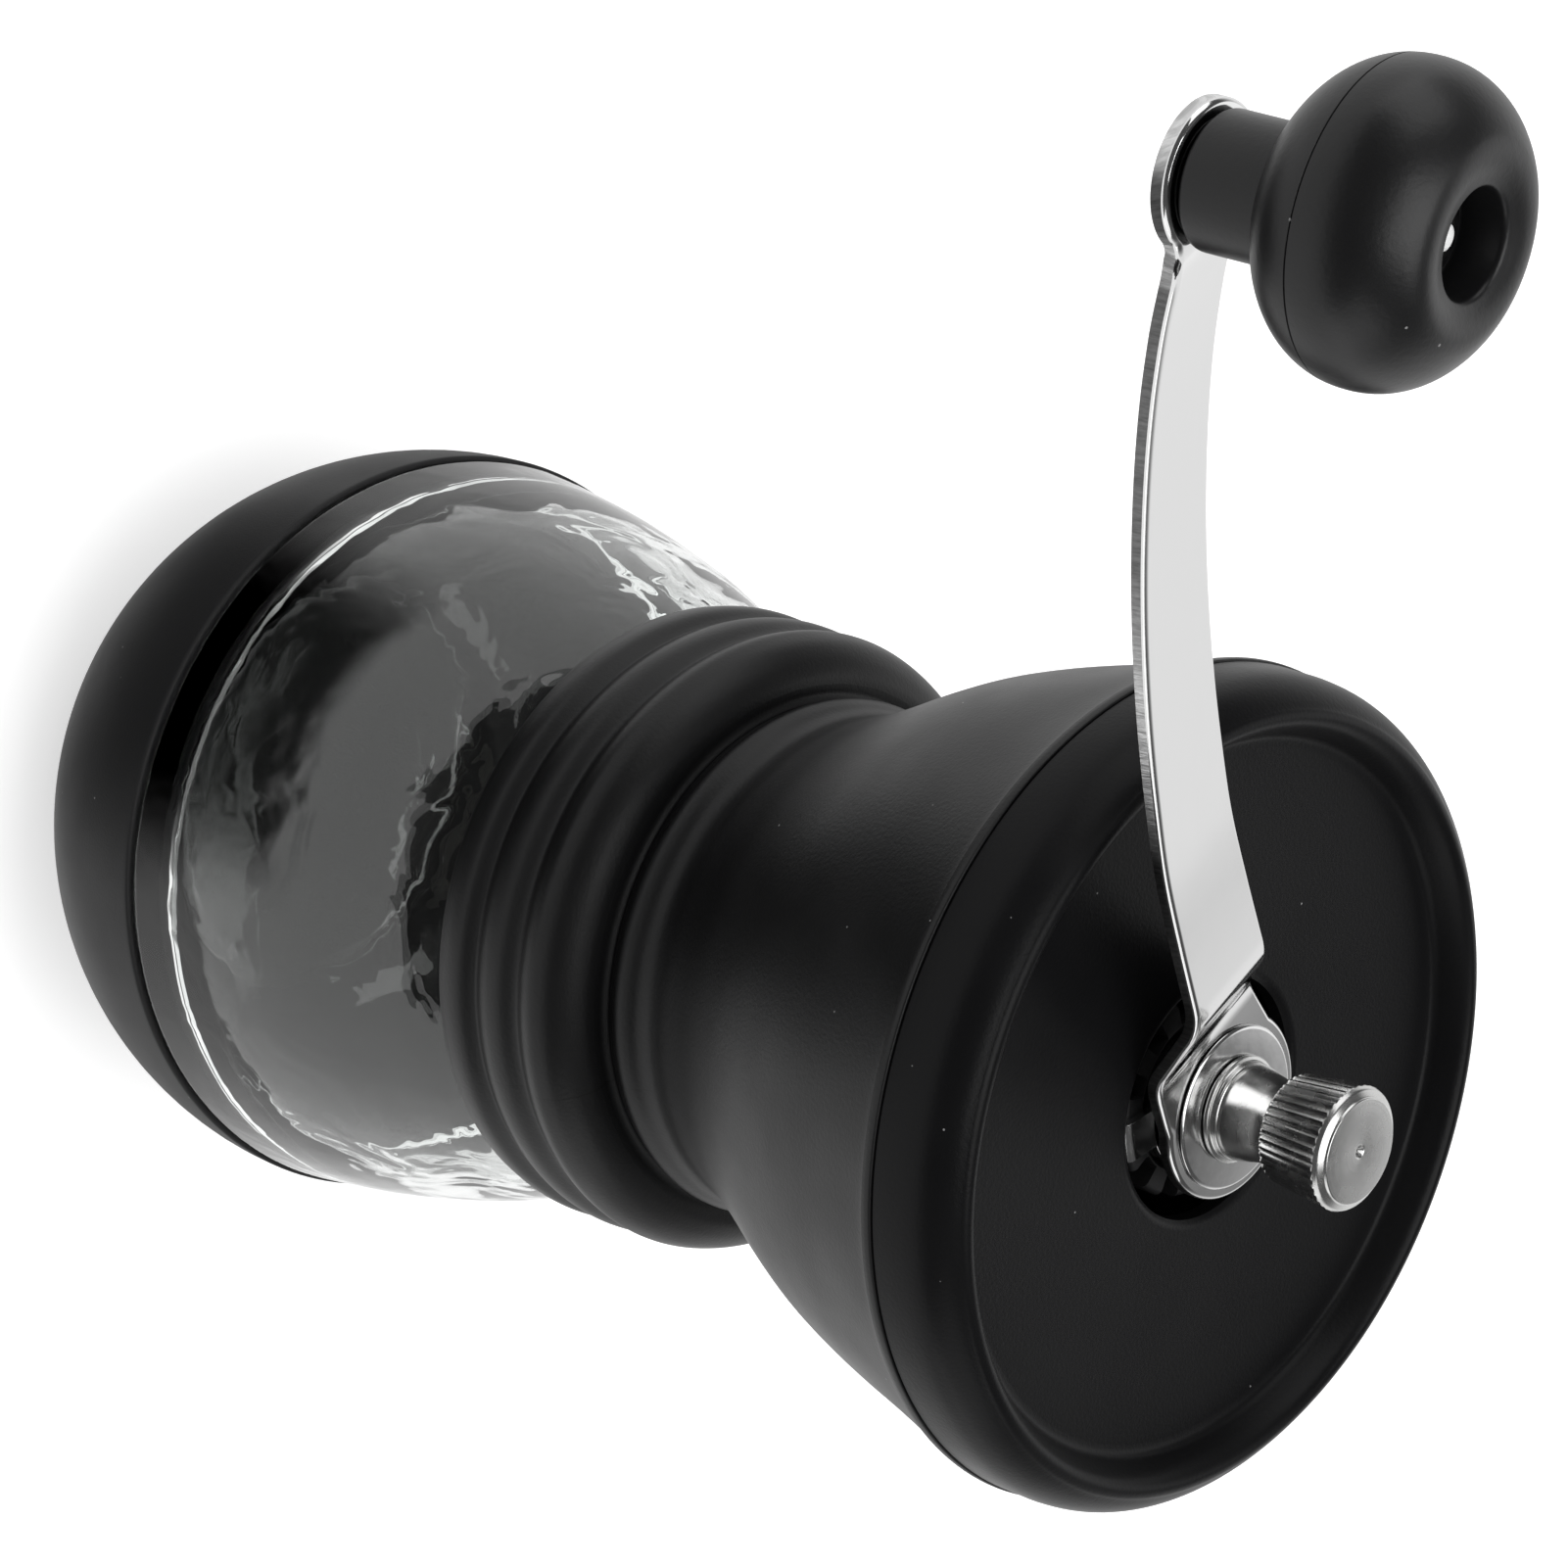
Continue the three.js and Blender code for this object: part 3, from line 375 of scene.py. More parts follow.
def moulded(name, colour, fleck, roughness, specular, grain_mm, grain_depth, seam_degrees=None):
    paint = bpy.data.materials.new(name)
    paint.use_nodes = True
    tree = paint.node_tree
    tree.nodes.clear()
    place = add(tree, "ShaderNodeTexCoord").outputs["Object"]
    grain = add(tree, "ShaderNodeTexNoise", {
        "Vector": place, "Scale": per_mm(grain_mm), "Detail": 3.0, "Roughness": 0.6})
    cloud = add(tree, "ShaderNodeTexNoise", {"Vector": place, "Scale": per_mm(CLOUD_MM), "Detail": 3.0})
    patchy = add(tree, "ShaderNodeMapRange", {
        "Value": cloud.outputs["Fac"], "From Min": 0.3, "From Max": 0.7,
        "To Min": roughness - 0.04, "To Max": roughness + 0.05})
    tone = add(tree, "ShaderNodeMix", {
        "Factor": cloud.outputs["Fac"], "A": linear(colour), "B": linear(fleck)}, data_type="RGBA")
    tone_out = tone.outputs[2]
    if seam_degrees is not None:
        a = math.radians(seam_degrees)
        across = add(tree, "ShaderNodeVectorMath", {
            0: place, 1: (-math.sin(a), math.cos(a), 0)}, operation="DOT_PRODUCT")
        off = add(tree, "ShaderNodeMath", {0: across.outputs["Value"]}, operation="ABSOLUTE")
        mould = add(tree, "ShaderNodeMath", {0: off, 1: SEAM_HALF_MM * MM}, operation="LESS_THAN")
        dark = add(tree, "ShaderNodeMix", {
            "Factor": mould, "A": tone_out, "B": linear("#020202")}, data_type="RGBA")
        tone_out = dark.outputs[2]
    dusty = add(tree, "ShaderNodeMix", {
        "Factor": dust(tree, place), "A": tone_out, "B": linear("#7a7a7a")}, data_type="RGBA")
    bump = add(tree, "ShaderNodeBump", {
        "Height": grain.outputs["Fac"], "Strength": 0.6, "Distance": grain_depth * MM})
    skin_shader = add(tree, "ShaderNodeBsdfPrincipled", {
        "Base Color": dusty.outputs[2], "Roughness": patchy.outputs["Result"],
        "Specular IOR Level": specular, "Normal": bump})
    add(tree, "ShaderNodeOutputMaterial", {"Surface": skin_shader})
    return paint


SEAM_AT = 74.6
body_plastic = moulded(
    "satin black moulded polypropylene", "#0b0b0c", "#101011", 0.42, 0.33, 0.42, 0.05, SEAM_AT)
lid_plastic = moulded("satin black moulded lid", "#0d0d0e", "#121213", 0.34, 0.10, 0.42, 0.04)
inner_plastic = moulded("dark glass-filled nylon", "#131314", "#19191a", 0.55, 0.35, 0.6, 0.05)
knob_plastic = moulded("semi-gloss black moulded knob", "#101011", "#141415", 0.36, 0.36, 0.5, 0.03)
cup_rubber = moulded("matt black moulded rubber", "#151516", "#1b1b1c", 0.56, 0.34, 0.3, 0.05)
print("plastics:", [m.name for m in bpy.data.materials if "moulded" in m.name])

# %% [markdown]
# ## Steel
#
# The crank is a polished strip, so it is nearly a mirror: high metallic, low roughness and a faint waviness of
# a few millimetres that the polishing wheel leaves. The thumb nut and shaft came off a lathe, so fine rings
# run round them. A stretched noise makes each of these marks through a bump.

# %% Polished and turned steel
def steel(name, colour, roughness, wave_mm, wave_depth, rings_mm=None, ring_depth=0.0):
    paint = bpy.data.materials.new(name)
    paint.use_nodes = True
    tree = paint.node_tree
    tree.nodes.clear()
    place = add(tree, "ShaderNodeTexCoord").outputs["Object"]
    wavy = add(tree, "ShaderNodeTexNoise", {"Vector": place, "Scale": per_mm(wave_mm), "Detail": 2.0})
    bump = add(tree, "ShaderNodeBump", {
        "Height": wavy.outputs["Fac"], "Strength": 1.0, "Distance": wave_depth * MM})
    rough = add(tree, "ShaderNodeMapRange", {
        "Value": wavy.outputs["Fac"], "From Min": 0.3, "From Max": 0.7,
        "To Min": roughness * 0.85, "To Max": roughness * 1.25})
    normal = bump.outputs["Normal"]
    if rings_mm:
        xyz = add(tree, "ShaderNodeSeparateXYZ", {"Vector": place})
        flat = add(tree, "ShaderNodeCombineXYZ", {"X": xyz.outputs["X"], "Y": xyz.outputs["Y"]})
        radius = add(tree, "ShaderNodeVectorMath", {0: flat.outputs["Vector"]}, operation="LENGTH")
        run = add(tree, "ShaderNodeMath", {0: radius.outputs["Value"], 1: xyz.outputs["Z"]}, operation="ADD")
        line = add(tree, "ShaderNodeCombineXYZ", {"X": run.outputs["Value"]})
        turned_marks = add(tree, "ShaderNodeTexNoise", {
            "Vector": line.outputs["Vector"], "Scale": per_mm(rings_mm), "Detail": 4.0, "Roughness": 0.7})
        cut = add(tree, "ShaderNodeBump", {
            "Height": turned_marks.outputs["Fac"], "Strength": 1.0, "Distance": ring_depth * MM,
            "Normal": normal})
        normal = cut.outputs["Normal"]
    metal = add(tree, "ShaderNodeBsdfPrincipled", {
        "Base Color": linear(colour), "Metallic": 1.0, "Roughness": rough, "Normal": normal})
    add(tree, "ShaderNodeOutputMaterial", {"Surface": metal.outputs["BSDF"]})
    return paint


polished = steel("polished stainless strip", "#dadada", 0.10, 3.5, 0.004)
pressed = steel("bright pressed steel", "#d8d8d8", 0.14, 1.5, 0.006)
lathe_cut = steel("turned stainless steel", "#c9c9c8", 0.24, 2.0, 0.004, 0.28, 0.012)
dark_spring = steel("oiled black spring steel", "#3a3a3c", 0.38, 0.8, 0.004)
print("steels:", polished.name, pressed.name, lathe_cut.name, dark_spring.name)

# %% [markdown]
# The strip's edge was sheared by the press and keeps slanting tear marks. Along the strip its tone is painted
# in lighter and darker bands, a painted reflection of the room. That edge is drawn from the piece's UV map,
# whose first number is the millimetres along the strip and whose second runs from its front to its back.

# %% The strip's sheared edge
STRIP_END = 125.0
TEAR_SLANT, TEAR_STRETCH, TEARS_PER_MM, TEAR_DEPTH_MM = 0.55, 0.25, 2.4, 0.07
# Painted reflection: light and dark bands along the strip's edge, at shares of its length.
PAINTED_EDGE_BANDS = [(0.0, "#6a6a6a"), (0.15, "#505050"), (0.22, "#8c8c8c"), (0.33, "#4a4a4a"), (0.40, "#d0d0d0"),
        (0.50, "#dadada"), (0.56, "#a0a0a0"), (0.62, "#707070"), (0.86, "#606060"), (0.885, "#cfcfcf"),
        (0.905, "#c0c0c0"), (0.92, "#454545"), (0.952, "#4c4c4c"), (0.968, "#e0e0e0")]

sheared = bpy.data.materials.new("sheared stainless edge")
sheared.use_nodes = True
tree = sheared.node_tree
tree.nodes.clear()
edge_uv = add(tree, "ShaderNodeUVMap", uv_map="edge")
split = add(tree, "ShaderNodeSeparateXYZ", {"Vector": edge_uv.outputs["UV"]})
slant = add(tree, "ShaderNodeMath", {
    0: split.outputs["Y"], 1: TEAR_SLANT, 2: split.outputs["X"]}, operation="MULTIPLY_ADD")
stretch = add(tree, "ShaderNodeMath", {0: split.outputs["Y"], 1: TEAR_STRETCH}, operation="MULTIPLY")
drawn = add(tree, "ShaderNodeCombineXYZ", {"X": slant, "Y": stretch})
teeth = add(tree, "ShaderNodeTexNoise", {
    "Vector": drawn, "Scale": TEARS_PER_MM, "Detail": 4.0, "Roughness": 0.65})
marks = add(tree, "ShaderNodeBump", {
    "Height": teeth.outputs["Fac"], "Strength": 1.0, "Distance": TEAR_DEPTH_MM * MM})
along_strip = add(tree, "ShaderNodeMath", {0: split.outputs["X"], 1: STRIP_END}, operation="DIVIDE")
painted_band_ramp = add(tree, "ShaderNodeValToRGB", {"Fac": along_strip})
ramp = painted_band_ramp.color_ramp.elements
for share, _ in PAINTED_EDGE_BANDS[2:]:
    ramp.new(share)
for stop, (share, tone) in zip(ramp, PAINTED_EDGE_BANDS):
    stop.position = share
    stop.color = linear(tone)
mottle = add(tree, "ShaderNodeMapRange", {
    "Value": teeth.outputs["Fac"], "From Min": 0.3, "From Max": 0.7, "To Min": 0.55, "To Max": 1.25})
# The real tear marks' mottle, multiplied into the painted reflection bands.
tear_mottle_and_painted_bands = add(tree, "ShaderNodeMix", {"Factor": 1.0, "A": painted_band_ramp.outputs["Color"], "B": mottle.outputs["Result"]},
           data_type="RGBA", blend_type="MULTIPLY")
edge_steel = add(tree, "ShaderNodeBsdfPrincipled", {
    "Base Color": tear_mottle_and_painted_bands.outputs[2], "Metallic": 1.0, "Roughness": 0.34, "Normal": marks})
add(tree, "ShaderNodeOutputMaterial", {"Surface": edge_steel})
print("edge nodes:", len(tree.nodes))

# %% [markdown]
# ## Glass, ceramic and the pale plastics
#
# The jar is pressed soda-lime glass. It bends light as glass with an IOR of 1.52 does, and its inside was
# formed by a plunger and left to cool, so it is not quite even: a slow bump of 11 mm makes what shows through
# it swim. The burrs are fired ceramic with a fine grain, the bushes natural acetal, and the gasket silicone.

# %% Glass and ceramic
GLASS_IOR = 1.52
SWIM_MM, SWIM_DEPTH_MM = 11, 0.25

jar_glass = bpy.data.materials.new("pressed soda-lime glass")
jar_glass.use_nodes = True
tree = jar_glass.node_tree
tree.nodes.clear()
place = add(tree, "ShaderNodeTexCoord").outputs["Object"]
swim = add(tree, "ShaderNodeTexNoise", {
    "Vector": place, "Scale": per_mm(SWIM_MM), "Detail": 2.0, "Distortion": 0.6})
ripple = add(tree, "ShaderNodeBump", {
    "Height": swim.outputs["Fac"], "Strength": 1.0, "Distance": SWIM_DEPTH_MM * MM})
clear = add(tree, "ShaderNodeBsdfPrincipled", {
    "Base Color": linear("#fafcfb"), "Roughness": 0.0, "IOR": GLASS_IOR, "Transmission Weight": 1.0,
    "Normal": ripple})
add(tree, "ShaderNodeOutputMaterial", {"Surface": clear})


def pale(name, colour, fleck, roughness, grain_mm, depth, soft=0.0):
    paint = bpy.data.materials.new(name)
    paint.use_nodes = True
    tree = paint.node_tree
    tree.nodes.clear()
    place = add(tree, "ShaderNodeTexCoord").outputs["Object"]
    grain = add(tree, "ShaderNodeTexNoise", {"Vector": place, "Scale": per_mm(grain_mm), "Detail": 4.0})
    tone = add(tree, "ShaderNodeMix", {
        "Factor": grain.outputs["Fac"], "A": linear(colour), "B": linear(fleck)}, data_type="RGBA")
    bump = add(tree, "ShaderNodeBump", {
        "Height": grain.outputs["Fac"], "Strength": 0.5, "Distance": depth * MM})
    body = add(tree, "ShaderNodeBsdfPrincipled", {
        "Base Color": tone.outputs[2], "Roughness": roughness, "Normal": bump.outputs["Normal"],
        "Subsurface Weight": soft, "Subsurface Scale": 0.001})
    add(tree, "ShaderNodeOutputMaterial", {"Surface": body.outputs["BSDF"]})
    return paint


fired = pale("fired white ceramic", "#e9e5dc", "#f4f1ea", 0.42, 0.5, 0.03)
acetal = pale("natural acetal", "#e6e1d4", "#efebe0", 0.38, 1.2, 0.01, 0.1)
silicone = pale("translucent silicone", "#cfcfc9", "#dadad5", 0.55, 1.5, 0.01, 0.3)
# Painted highlight: a near-white matt finish that makes the rivet's end shine.
painted_highlight_finish = pale("near-white painted highlight", "#f2f2f2", "#dcdcdc", 0.35, 0.5, 0.03)
print("glass IOR:", GLASS_IOR)

# %% [markdown]
# ## The rubber cup
#
# The cup is part of an ellipse, 93 mm across, with a flat foot to stand on and a soft lip. The outline comes
# from the ellipse's formula and not from points, so it stays true at any number of rings.

# %% Mould the cup
CUP_R, CUP_MIDDLE, CUP_HALF, CUP_TOP = 46.47, 34.7, 45.6, 36.4


def cup_radius(z, wall=0.0):
    reach = (z - CUP_MIDDLE) / (CUP_HALF - wall)
    return (CUP_R - wall) * math.sqrt(max(0.0, 1 - reach * reach))


def cup_side(low, high, wall, steps):
    heights = [low + (high - low) * (1 - math.cos(math.pi / 2 * k / steps)) for k in range(steps + 1)]
    return [(cup_radius(z, wall), z) for z in heights]


outside = cup_side(0.9, 35.6, 0.0, 26)
inside = cup_side(4.0, 35.9, 2.0, 18)[::-1]
foot = rounded([(0, 0.35), (24, 0.35, 0.3), (24.4, 0, 0.3), (outside[0][0] - 0.6, 0, 0.6), outside[0]])
lip = rounded([outside[-1], (46.45, 36.4, 0.5), (45.4, CUP_TOP, 0.4), inside[0]])
cup_line = [*foot[:-1], *outside[:-1], *lip, *inside[1:], (cup_radius(3.0, 2.0), 3.0), (0, 3.0)]
cup = spun("cup", cup_line, 192)
settle(cup, "jar", "rubber_cup", cup_rubber, "base_cup")

# %% [markdown]
# ## The glass jar
#
# Glass needs a real wall with an inside and an outside, or light would not bend through it as it should. The
# outside swells from the cup's lip and draws in to the neck. The inside follows it loosely and thickens at
# the shoulder. One raised turn round the neck is the thread, made by pushing the rings out along a helix.

# %% Blow the jar
NECK_R, NECK_TOP = 31.5, 95.6
PITCH, THREAD_START, THREAD_TURNS = 4.0, 85.5, 1.25


def thread_push(z, angle):
    """How far the thread stands out of the neck at a height and an angle, in millimetres."""
    out = 0.0
    for lap in range(3):
        along = angle / (2 * math.pi) + lap - 0.5
        if not 0 <= along <= THREAD_TURNS:
            continue
        middle = THREAD_START + PITCH * along
        fade = min(1.0, 6 * along, 6 * (THREAD_TURNS - along))
        out = max(out, fade * max(0.0, 1 - abs(z - middle) / 0.75) ** 0.6)
    return out


def threaded_neck(r, z, angle):
    on_neck = abs(r - NECK_R) < 0.01 and 84 < z < 92
    return (r + 0.95 * thread_push(z, angle), z) if on_neck else (r, z)


under_cup = cup_side(3.9, 36.1, 2.5, 18)
bulb = flowing([(46.0, 37.3), (45.3, 41.6), (44.3, 47.6), (43.2, 52.6), (41.1, 60.6), (39.0, 66.6),
                (35.9, 74.0), (33.2, 79.5), (32.0, 82.2)], 5)
neck = [(31.55, 83.4), *[(NECK_R, 84 + 0.25 * k) for k in range(33)]]
rim = rounded([(NECK_R, 92.4), (NECK_R, NECK_TOP, 0.9), (28.8, NECK_TOP, 0.9), (28.8, 92)], 6)
hollow = flowing([(28.8, 88), (29.0, 84), (31.0, 79.0), (34.6, 71.5), (38.4, 61.5), (41.0, 52.0),
                  (42.0, 44.0), (41.4, 36.0), (38.4, 23.0), (33.6, 13.0), (28.0, 8.6),
                  (20.0, 7.0), (0, 6.6)], 5)
jar_line = [(0, 3.1), (29.2, 3.1), *under_cup, *rounded([(44.3, 36.35), (45.6, 36.75, 0.3), bulb[0]])[1:-1],
            *bulb, *neck, *rim[1:], *hollow]
jar = spun("jar", jar_line, 192, threaded_neck, sharp=60)
settle(jar, "jar", "jar_glass", jar_glass, "glass_jar")

# %% [markdown]
# ## The gasket
#
# A flat silicone ring seals the jar's rim against the collar. Only its edge can be seen, through the glass.

# %% Cut the gasket
gasket_line = rounded([(30, 95.72), (32.3, 95.72, 0.3), (32.3, 97.78, 0.3), (28.3, 97.78, 0.3),
                       (28.3, 95.72, 0.3), (29.9, 95.72)])
settle(spun("gasket", gasket_line, 128), "gasket", "silicone", silicone, "jar_gasket")

# %% [markdown]
# ## The collar
#
# Three soft ribs make the grip. Their crests stand 0.9 mm out of the grooves between them, and the top one
# rolls over into a shoulder. A line that flows through the crests and the grooves gives the soft change of
# light that the eye reads as a rib.

# %% Mould the collar
ribs = flowing([(36.0, 80.9), (36.3, 82.5), (36.2, 84.0), (35.45, 85.4), (35.3, 86.1), (35.9, 87.6),
                (36.1, 88.9), (35.9, 90.3), (35.15, 91.8), (35.05, 92.6), (35.65, 94.0), (35.85, 95.2),
                (35.6, 96.3), (35.1, 97.4), (34.3, 98.35), (33.2, 99.2), (31.8, 99.85), (30.7, 100.0)], 5)
collar_line = [*rounded([(35.1, 80.2), (35.85, 80.2, 0.4), ribs[0]])[:-1], *ribs,
               *rounded([ribs[-1], (29.6, 99.8, 0.4), (28.9, 100.25, 0.2), (27.1, 100.25), (27.1, 97.9),
                         (33.2, 97.9, 0.3), (33.2, 80.2, 0.3), (34.9, 80.2)])[1:]]
collar_piece = spun("grip_collar", collar_line, 192)
settle(collar_piece, "housing", "black_plastic", body_plastic, "collar")

# %% [markdown]
# ## The hopper
#
# The hopper grows out of a ridge above the collar, narrows to a waist and flares to a thin lip. The lip ends
# 0.13 mm under the lid, and that gap is what the eye sees as a dark line round the mill.

# %% Mould the hopper
ridge = flowing([(28.9, 100.4), (29.1, 101.0), (29.55, 101.8), (29.6, 102.6), (29.3, 103.5), (28.75, 104.6),
                 (28.5, 105.9), (28.65, 107.2), (29.1, 108.8), (29.8, 111.2), (30.8, 113.8), (33.0, 118.6),
                 (35.4, 123.6), (37.5, 128.6), (39.1, 133.6), (40.4, 138.6), (41.5, 143.6), (42.5, 147.8),
                 (43.4, 151.2), (43.8, 152.35)], 5)
lip_line = rounded([ridge[-1], (43.95, 152.4), (44.05, 152.9, 0.3), (43.95, 153.47, 0.2), (41.3, 153.47, 0.3),
                    (41.0, 150.2)])
inner_wall = flowing([(41.0, 150.2), (39.6, 144.5), (37.8, 138.6), (34.7, 128.4), (30.2, 118.4),
                      (26.7, 109.4), (25.7, 104.9)], 5)
throat = rounded([inner_wall[-1], (24.0, 102.9, 0.8), (19.4, 101.4, 0.5), (19.4, 99.0, 0.2), (27.0, 99.0),
                  (27.0, 100.4), ridge[0]])
hopper_line = [*ridge[:-1], *lip_line[:-1], *inner_wall[:-1], *throat[:-1]]
settle(spun("bean_hopper", hopper_line, 192), "housing", "black_plastic", body_plastic, "hopper")

# %% [markdown]
# ## The lid
#
# A straight skirt turns over a round rim and drops to a flat disc with a hole for the shaft's nut. The rim's
# outer side is one arc. Under it, a plug fits in the hopper's mouth.

# %% Mould the lid
outer_roll = arc((37.7, 157.13), 5.87, 10, 58, 12)
crest = flowing([outer_roll[-1], (40.45, 162.38), (39.9, 162.52), (39.35, 162.38), (38.8, 161.9),
                 (38.3, 161.1), (37.85, 160.1), (37.5, 159.3), (37.0, 158.85), (36.2, 158.7)], 4)
skirt = rounded([(41.0, 153.6), (43.78, 153.6, 0.2), (43.62, 157.2), outer_roll[0]])
disc = rounded([crest[-1], (13.4, 158.7, 0.5), (12.8, 158.2), (12.8, 156.5, 0.2), (38.3, 156.5, 0.8),
                (38.3, 150.7, 0.4), (40.3, 150.7, 0.4), (40.3, 153.6, 0.2), (41.0, 153.6)])
lid_line = [*skirt[:-1], *outer_roll, *crest[1:-1], *disc[:-1]]
settle(spun("cover", lid_line, 192), "cover", "lid_plastic", lid_plastic, "lid")

# %% [markdown]
# ## The crank
#
# The crank began as a flat strip. A press cut its outline, and then bent it: up from the hub disc, back into
# a long bow, and level again at the eye. The same order works in code. Its flat outline is filled with faces,
# cut across wherever the strip bends, and laid over the bent line. The outline is stacked in layers: the first
# ones draw in over half a millimetre and round the front corner off, and the rest are the sheared wall.

# %% The crank's bent line and flat outline
HUB_TOP, SHEET = 161.4, 1.5
KNOB_TILT = 0.137
KNOB_AT = Vector((113.87, 0.0, 215.0))
EYE_H, EYE_R = -15.3, 5.83
EYE_X = KNOB_AT.x - EYE_H * math.sin(KNOB_TILT)
EYE_Z = KNOB_AT.z + EYE_H * math.cos(KNOB_TILT)


def eye_level(x):
    return EYE_Z + (x - EYE_X) * math.tan(KNOB_TILT)


bow = flowing([(29.2, 169.7), (39.0, 171.3), (48.7, 173.6), (58.4, 176.2), (68.2, 179.2), (77.9, 182.55),
               (87.7, 186.35), (96.0, 189.95), (103.0, 193.4), (107.5, 195.9)], 6)
bends = [(-10.5, HUB_TOP), (10.3, HUB_TOP, 1.9), (19.0, 168.25, 2.6), bow[0]]
to_eye = [bow[-1], (110.2, 197.5, 1.6), (112.4, eye_level(112.4), 1.2), (123.5, eye_level(123.5))]
front_line = [*rounded(bends, 8)[:-1], *bow[:-1], *rounded(to_eye, 6)]
line_x = np.array([p[0] for p in front_line])
line_z = np.array([p[1] for p in front_line])
print("the bent line has", len(front_line), "points")


def half_plan():
    """The +Y side of the outline, from the hub's back to the eye's tip."""
    hub = arc((0, 0), 9.8, 180, 63, 36)
    blade = rounded([hub[-1], (10.3, 8.0, 1.6), (19.0, 5.65, 3.2), (58.4, 4.92, 6.0), (97.0, 4.15, 4.0),
                     (109.4, 3.95, 1.5), (111.8, 5.05, 1.2), (113.5, 5.3)], 6)
    eye = arc((EYE_X, 0), EYE_R, 114, 0, 30)
    return [*hub[:-1], *blade[:-1], *eye]


upper = half_plan()
plan = [*upper, *[(x, -y) for x, y in upper[-2:0:-1]]]
print("the flat outline has", len(plan), "points")

# %% Stack the layers of the strip
FRONT_ROUND = 0.5
SHAFT_HOLE_R, FLAT_HALF, RIVET_HOLE_R = 3.1, 2.5, 2.05


def drawn_in(outline, distance):
    """The outline moved inwards by a distance, point for point."""
    moved = []
    for i, point in enumerate(outline):
        here = Vector(point)
        ahead = (Vector(outline[(i + 1) % len(outline)]) - here).normalized()
        behind = (here - Vector(outline[i - 1])).normalized()
        along_it = (ahead + behind).normalized()
        inwards = Vector((along_it.y, -along_it.x))
        moved.append(here + inwards * distance / max(0.6, along_it.dot(ahead)))
    return moved


quarter = [math.pi / 2 * k / 6 for k in range(7)]
layers = [(FRONT_ROUND * (1 - math.sin(a)), FRONT_ROUND * (1 - math.cos(a))) for a in quarter]
layers += [(0.0, 1.0), (0.0, SHEET - 0.06), (0.06, SHEET)]
flat_shaft = [(SHAFT_HOLE_R * math.cos(a), max(-FLAT_HALF, min(FLAT_HALF, SHAFT_HOLE_R * math.sin(a))))
              for a in (2 * math.pi * (k + 0.5) / 40 for k in range(40))]
rivet_hole = [(EYE_X + RIVET_HOLE_R * math.cos(a), RIVET_HOLE_R * math.sin(a))
              for a in (2 * math.pi * k / 24 for k in range(24))]
work = bmesh.new()


def ring_at(points, depth):
    made = [work.verts.new((q[0], q[1], -depth)) for q in points]
    edges = [work.edges.new((made[i - 1], made[i])) for i in range(len(made))]
    return made, edges


def wall(one, two):
    for i in range(len(one)):
        work.faces.new((one[i - 1], one[i], two[i], two[i - 1]))


outer = [ring_at(drawn_in(plan, inset), depth) for inset, depth in layers]
for (one, _), (two, _) in zip(outer, outer[1:]):
    wall(one, two)
holes = [[ring_at(hole, 0.0), ring_at(hole, SHEET)] for hole in (flat_shaft, rivet_hole)]
for one, two in holes:
    wall(one[0], two[0])
for end, rim in ((0, outer[0][1]), (1, outer[-1][1])):
    bmesh.ops.triangle_fill(work, edges=rim + holes[0][end][1] + holes[1][end][1], use_beauty=True)
for x in line_x[1:-1]:
    everything = work.verts[:] + work.edges[:] + work.faces[:]
    bmesh.ops.bisect_plane(work, geom=everything, dist=1e-5, plane_co=(x, 0, 0), plane_no=(1, 0, 0))
print("strip:", len(work.verts), "points,", len(layers), "layers")

# %% [markdown]
# The strip is nearly a mirror, so its shading must not show the slivers that the cuts left. The front and the
# back get their normals from the bent line itself. The front, its round corner and the back are polished, and
# the wall takes the sheared finish. The UV map holds the millimetres along the strip and the share of the way
# through it.

# %% Bend and finish the strip
slope_x = 0.5 * (line_x[1:] + line_x[:-1])
slope = np.diff(line_z) / np.diff(line_x)


def front_at(x):
    """The height of the bent line over x, and the way out of the strip's front there."""
    steep = float(np.interp(x, slope_x, slope))
    ahead = Vector((1, 0, steep)).normalized()
    return float(np.interp(x, line_x, line_z)), Vector((-ahead.z, 0, ahead.x))


work.verts.index_update()
flat = [v.co.copy() for v in work.verts]
for v in work.verts:
    height, out = front_at(v.co.x)
    v.co = (Vector((v.co.x, v.co.y, height)) + out * v.co.z) * MM
bmesh.ops.recalc_face_normals(work, faces=work.faces)
crank_mesh = bpy.data.meshes.new("crank_strip")
work.to_mesh(crank_mesh)
work.free()
crank_mesh.shade_smooth()
crank_mesh.set_sharp_from_angle(angle=math.radians(40))
edge_map = crank_mesh.uv_layers.new(name="edge")
normals = [Vector(n.vector) for n in crank_mesh.corner_normals]
for face in crank_mesh.polygons:
    depths = [-flat[i].z for i in face.vertices]
    on_front = max(depths) < FRONT_ROUND + 0.01
    on_back = min(depths) > SHEET - 0.01
    face.material_index = 0 if on_front or on_back else 1
    for corner in face.loop_indices:
        at = flat[crank_mesh.loops[corner].vertex_index]
        edge_map.data[corner].uv = (at.x, -at.z / SHEET)
        if on_back or (on_front and at.z > -0.001):
            normals[corner] = front_at(at.x)[1] * (-1 if on_back else 1)
crank_mesh.normals_split_custom_set([tuple(n) for n in normals])
crank = bpy.data.objects.new("crank_strip", crank_mesh)
bpy.context.scene.collection.objects.link(crank)
crank_mesh.materials.append(polished)
crank_mesh.materials.append(sheared)
settle(crank, "drive", "crank_steel", None, "crank_arm")

# %% [markdown]
# ## The thumb nut and its washer
#
# The nut was turned from bar: a flange, two fine rings, a cone, a waist and a flared head. A knurling wheel
# pressed forty straight grooves into the head. Here the rings of the head are drawn in along each groove, so
# the knurl is real geometry and its silhouette shows teeth.

# %% Turn the nut
KNURLS = 40
KNURL_DEPTH = 0.32


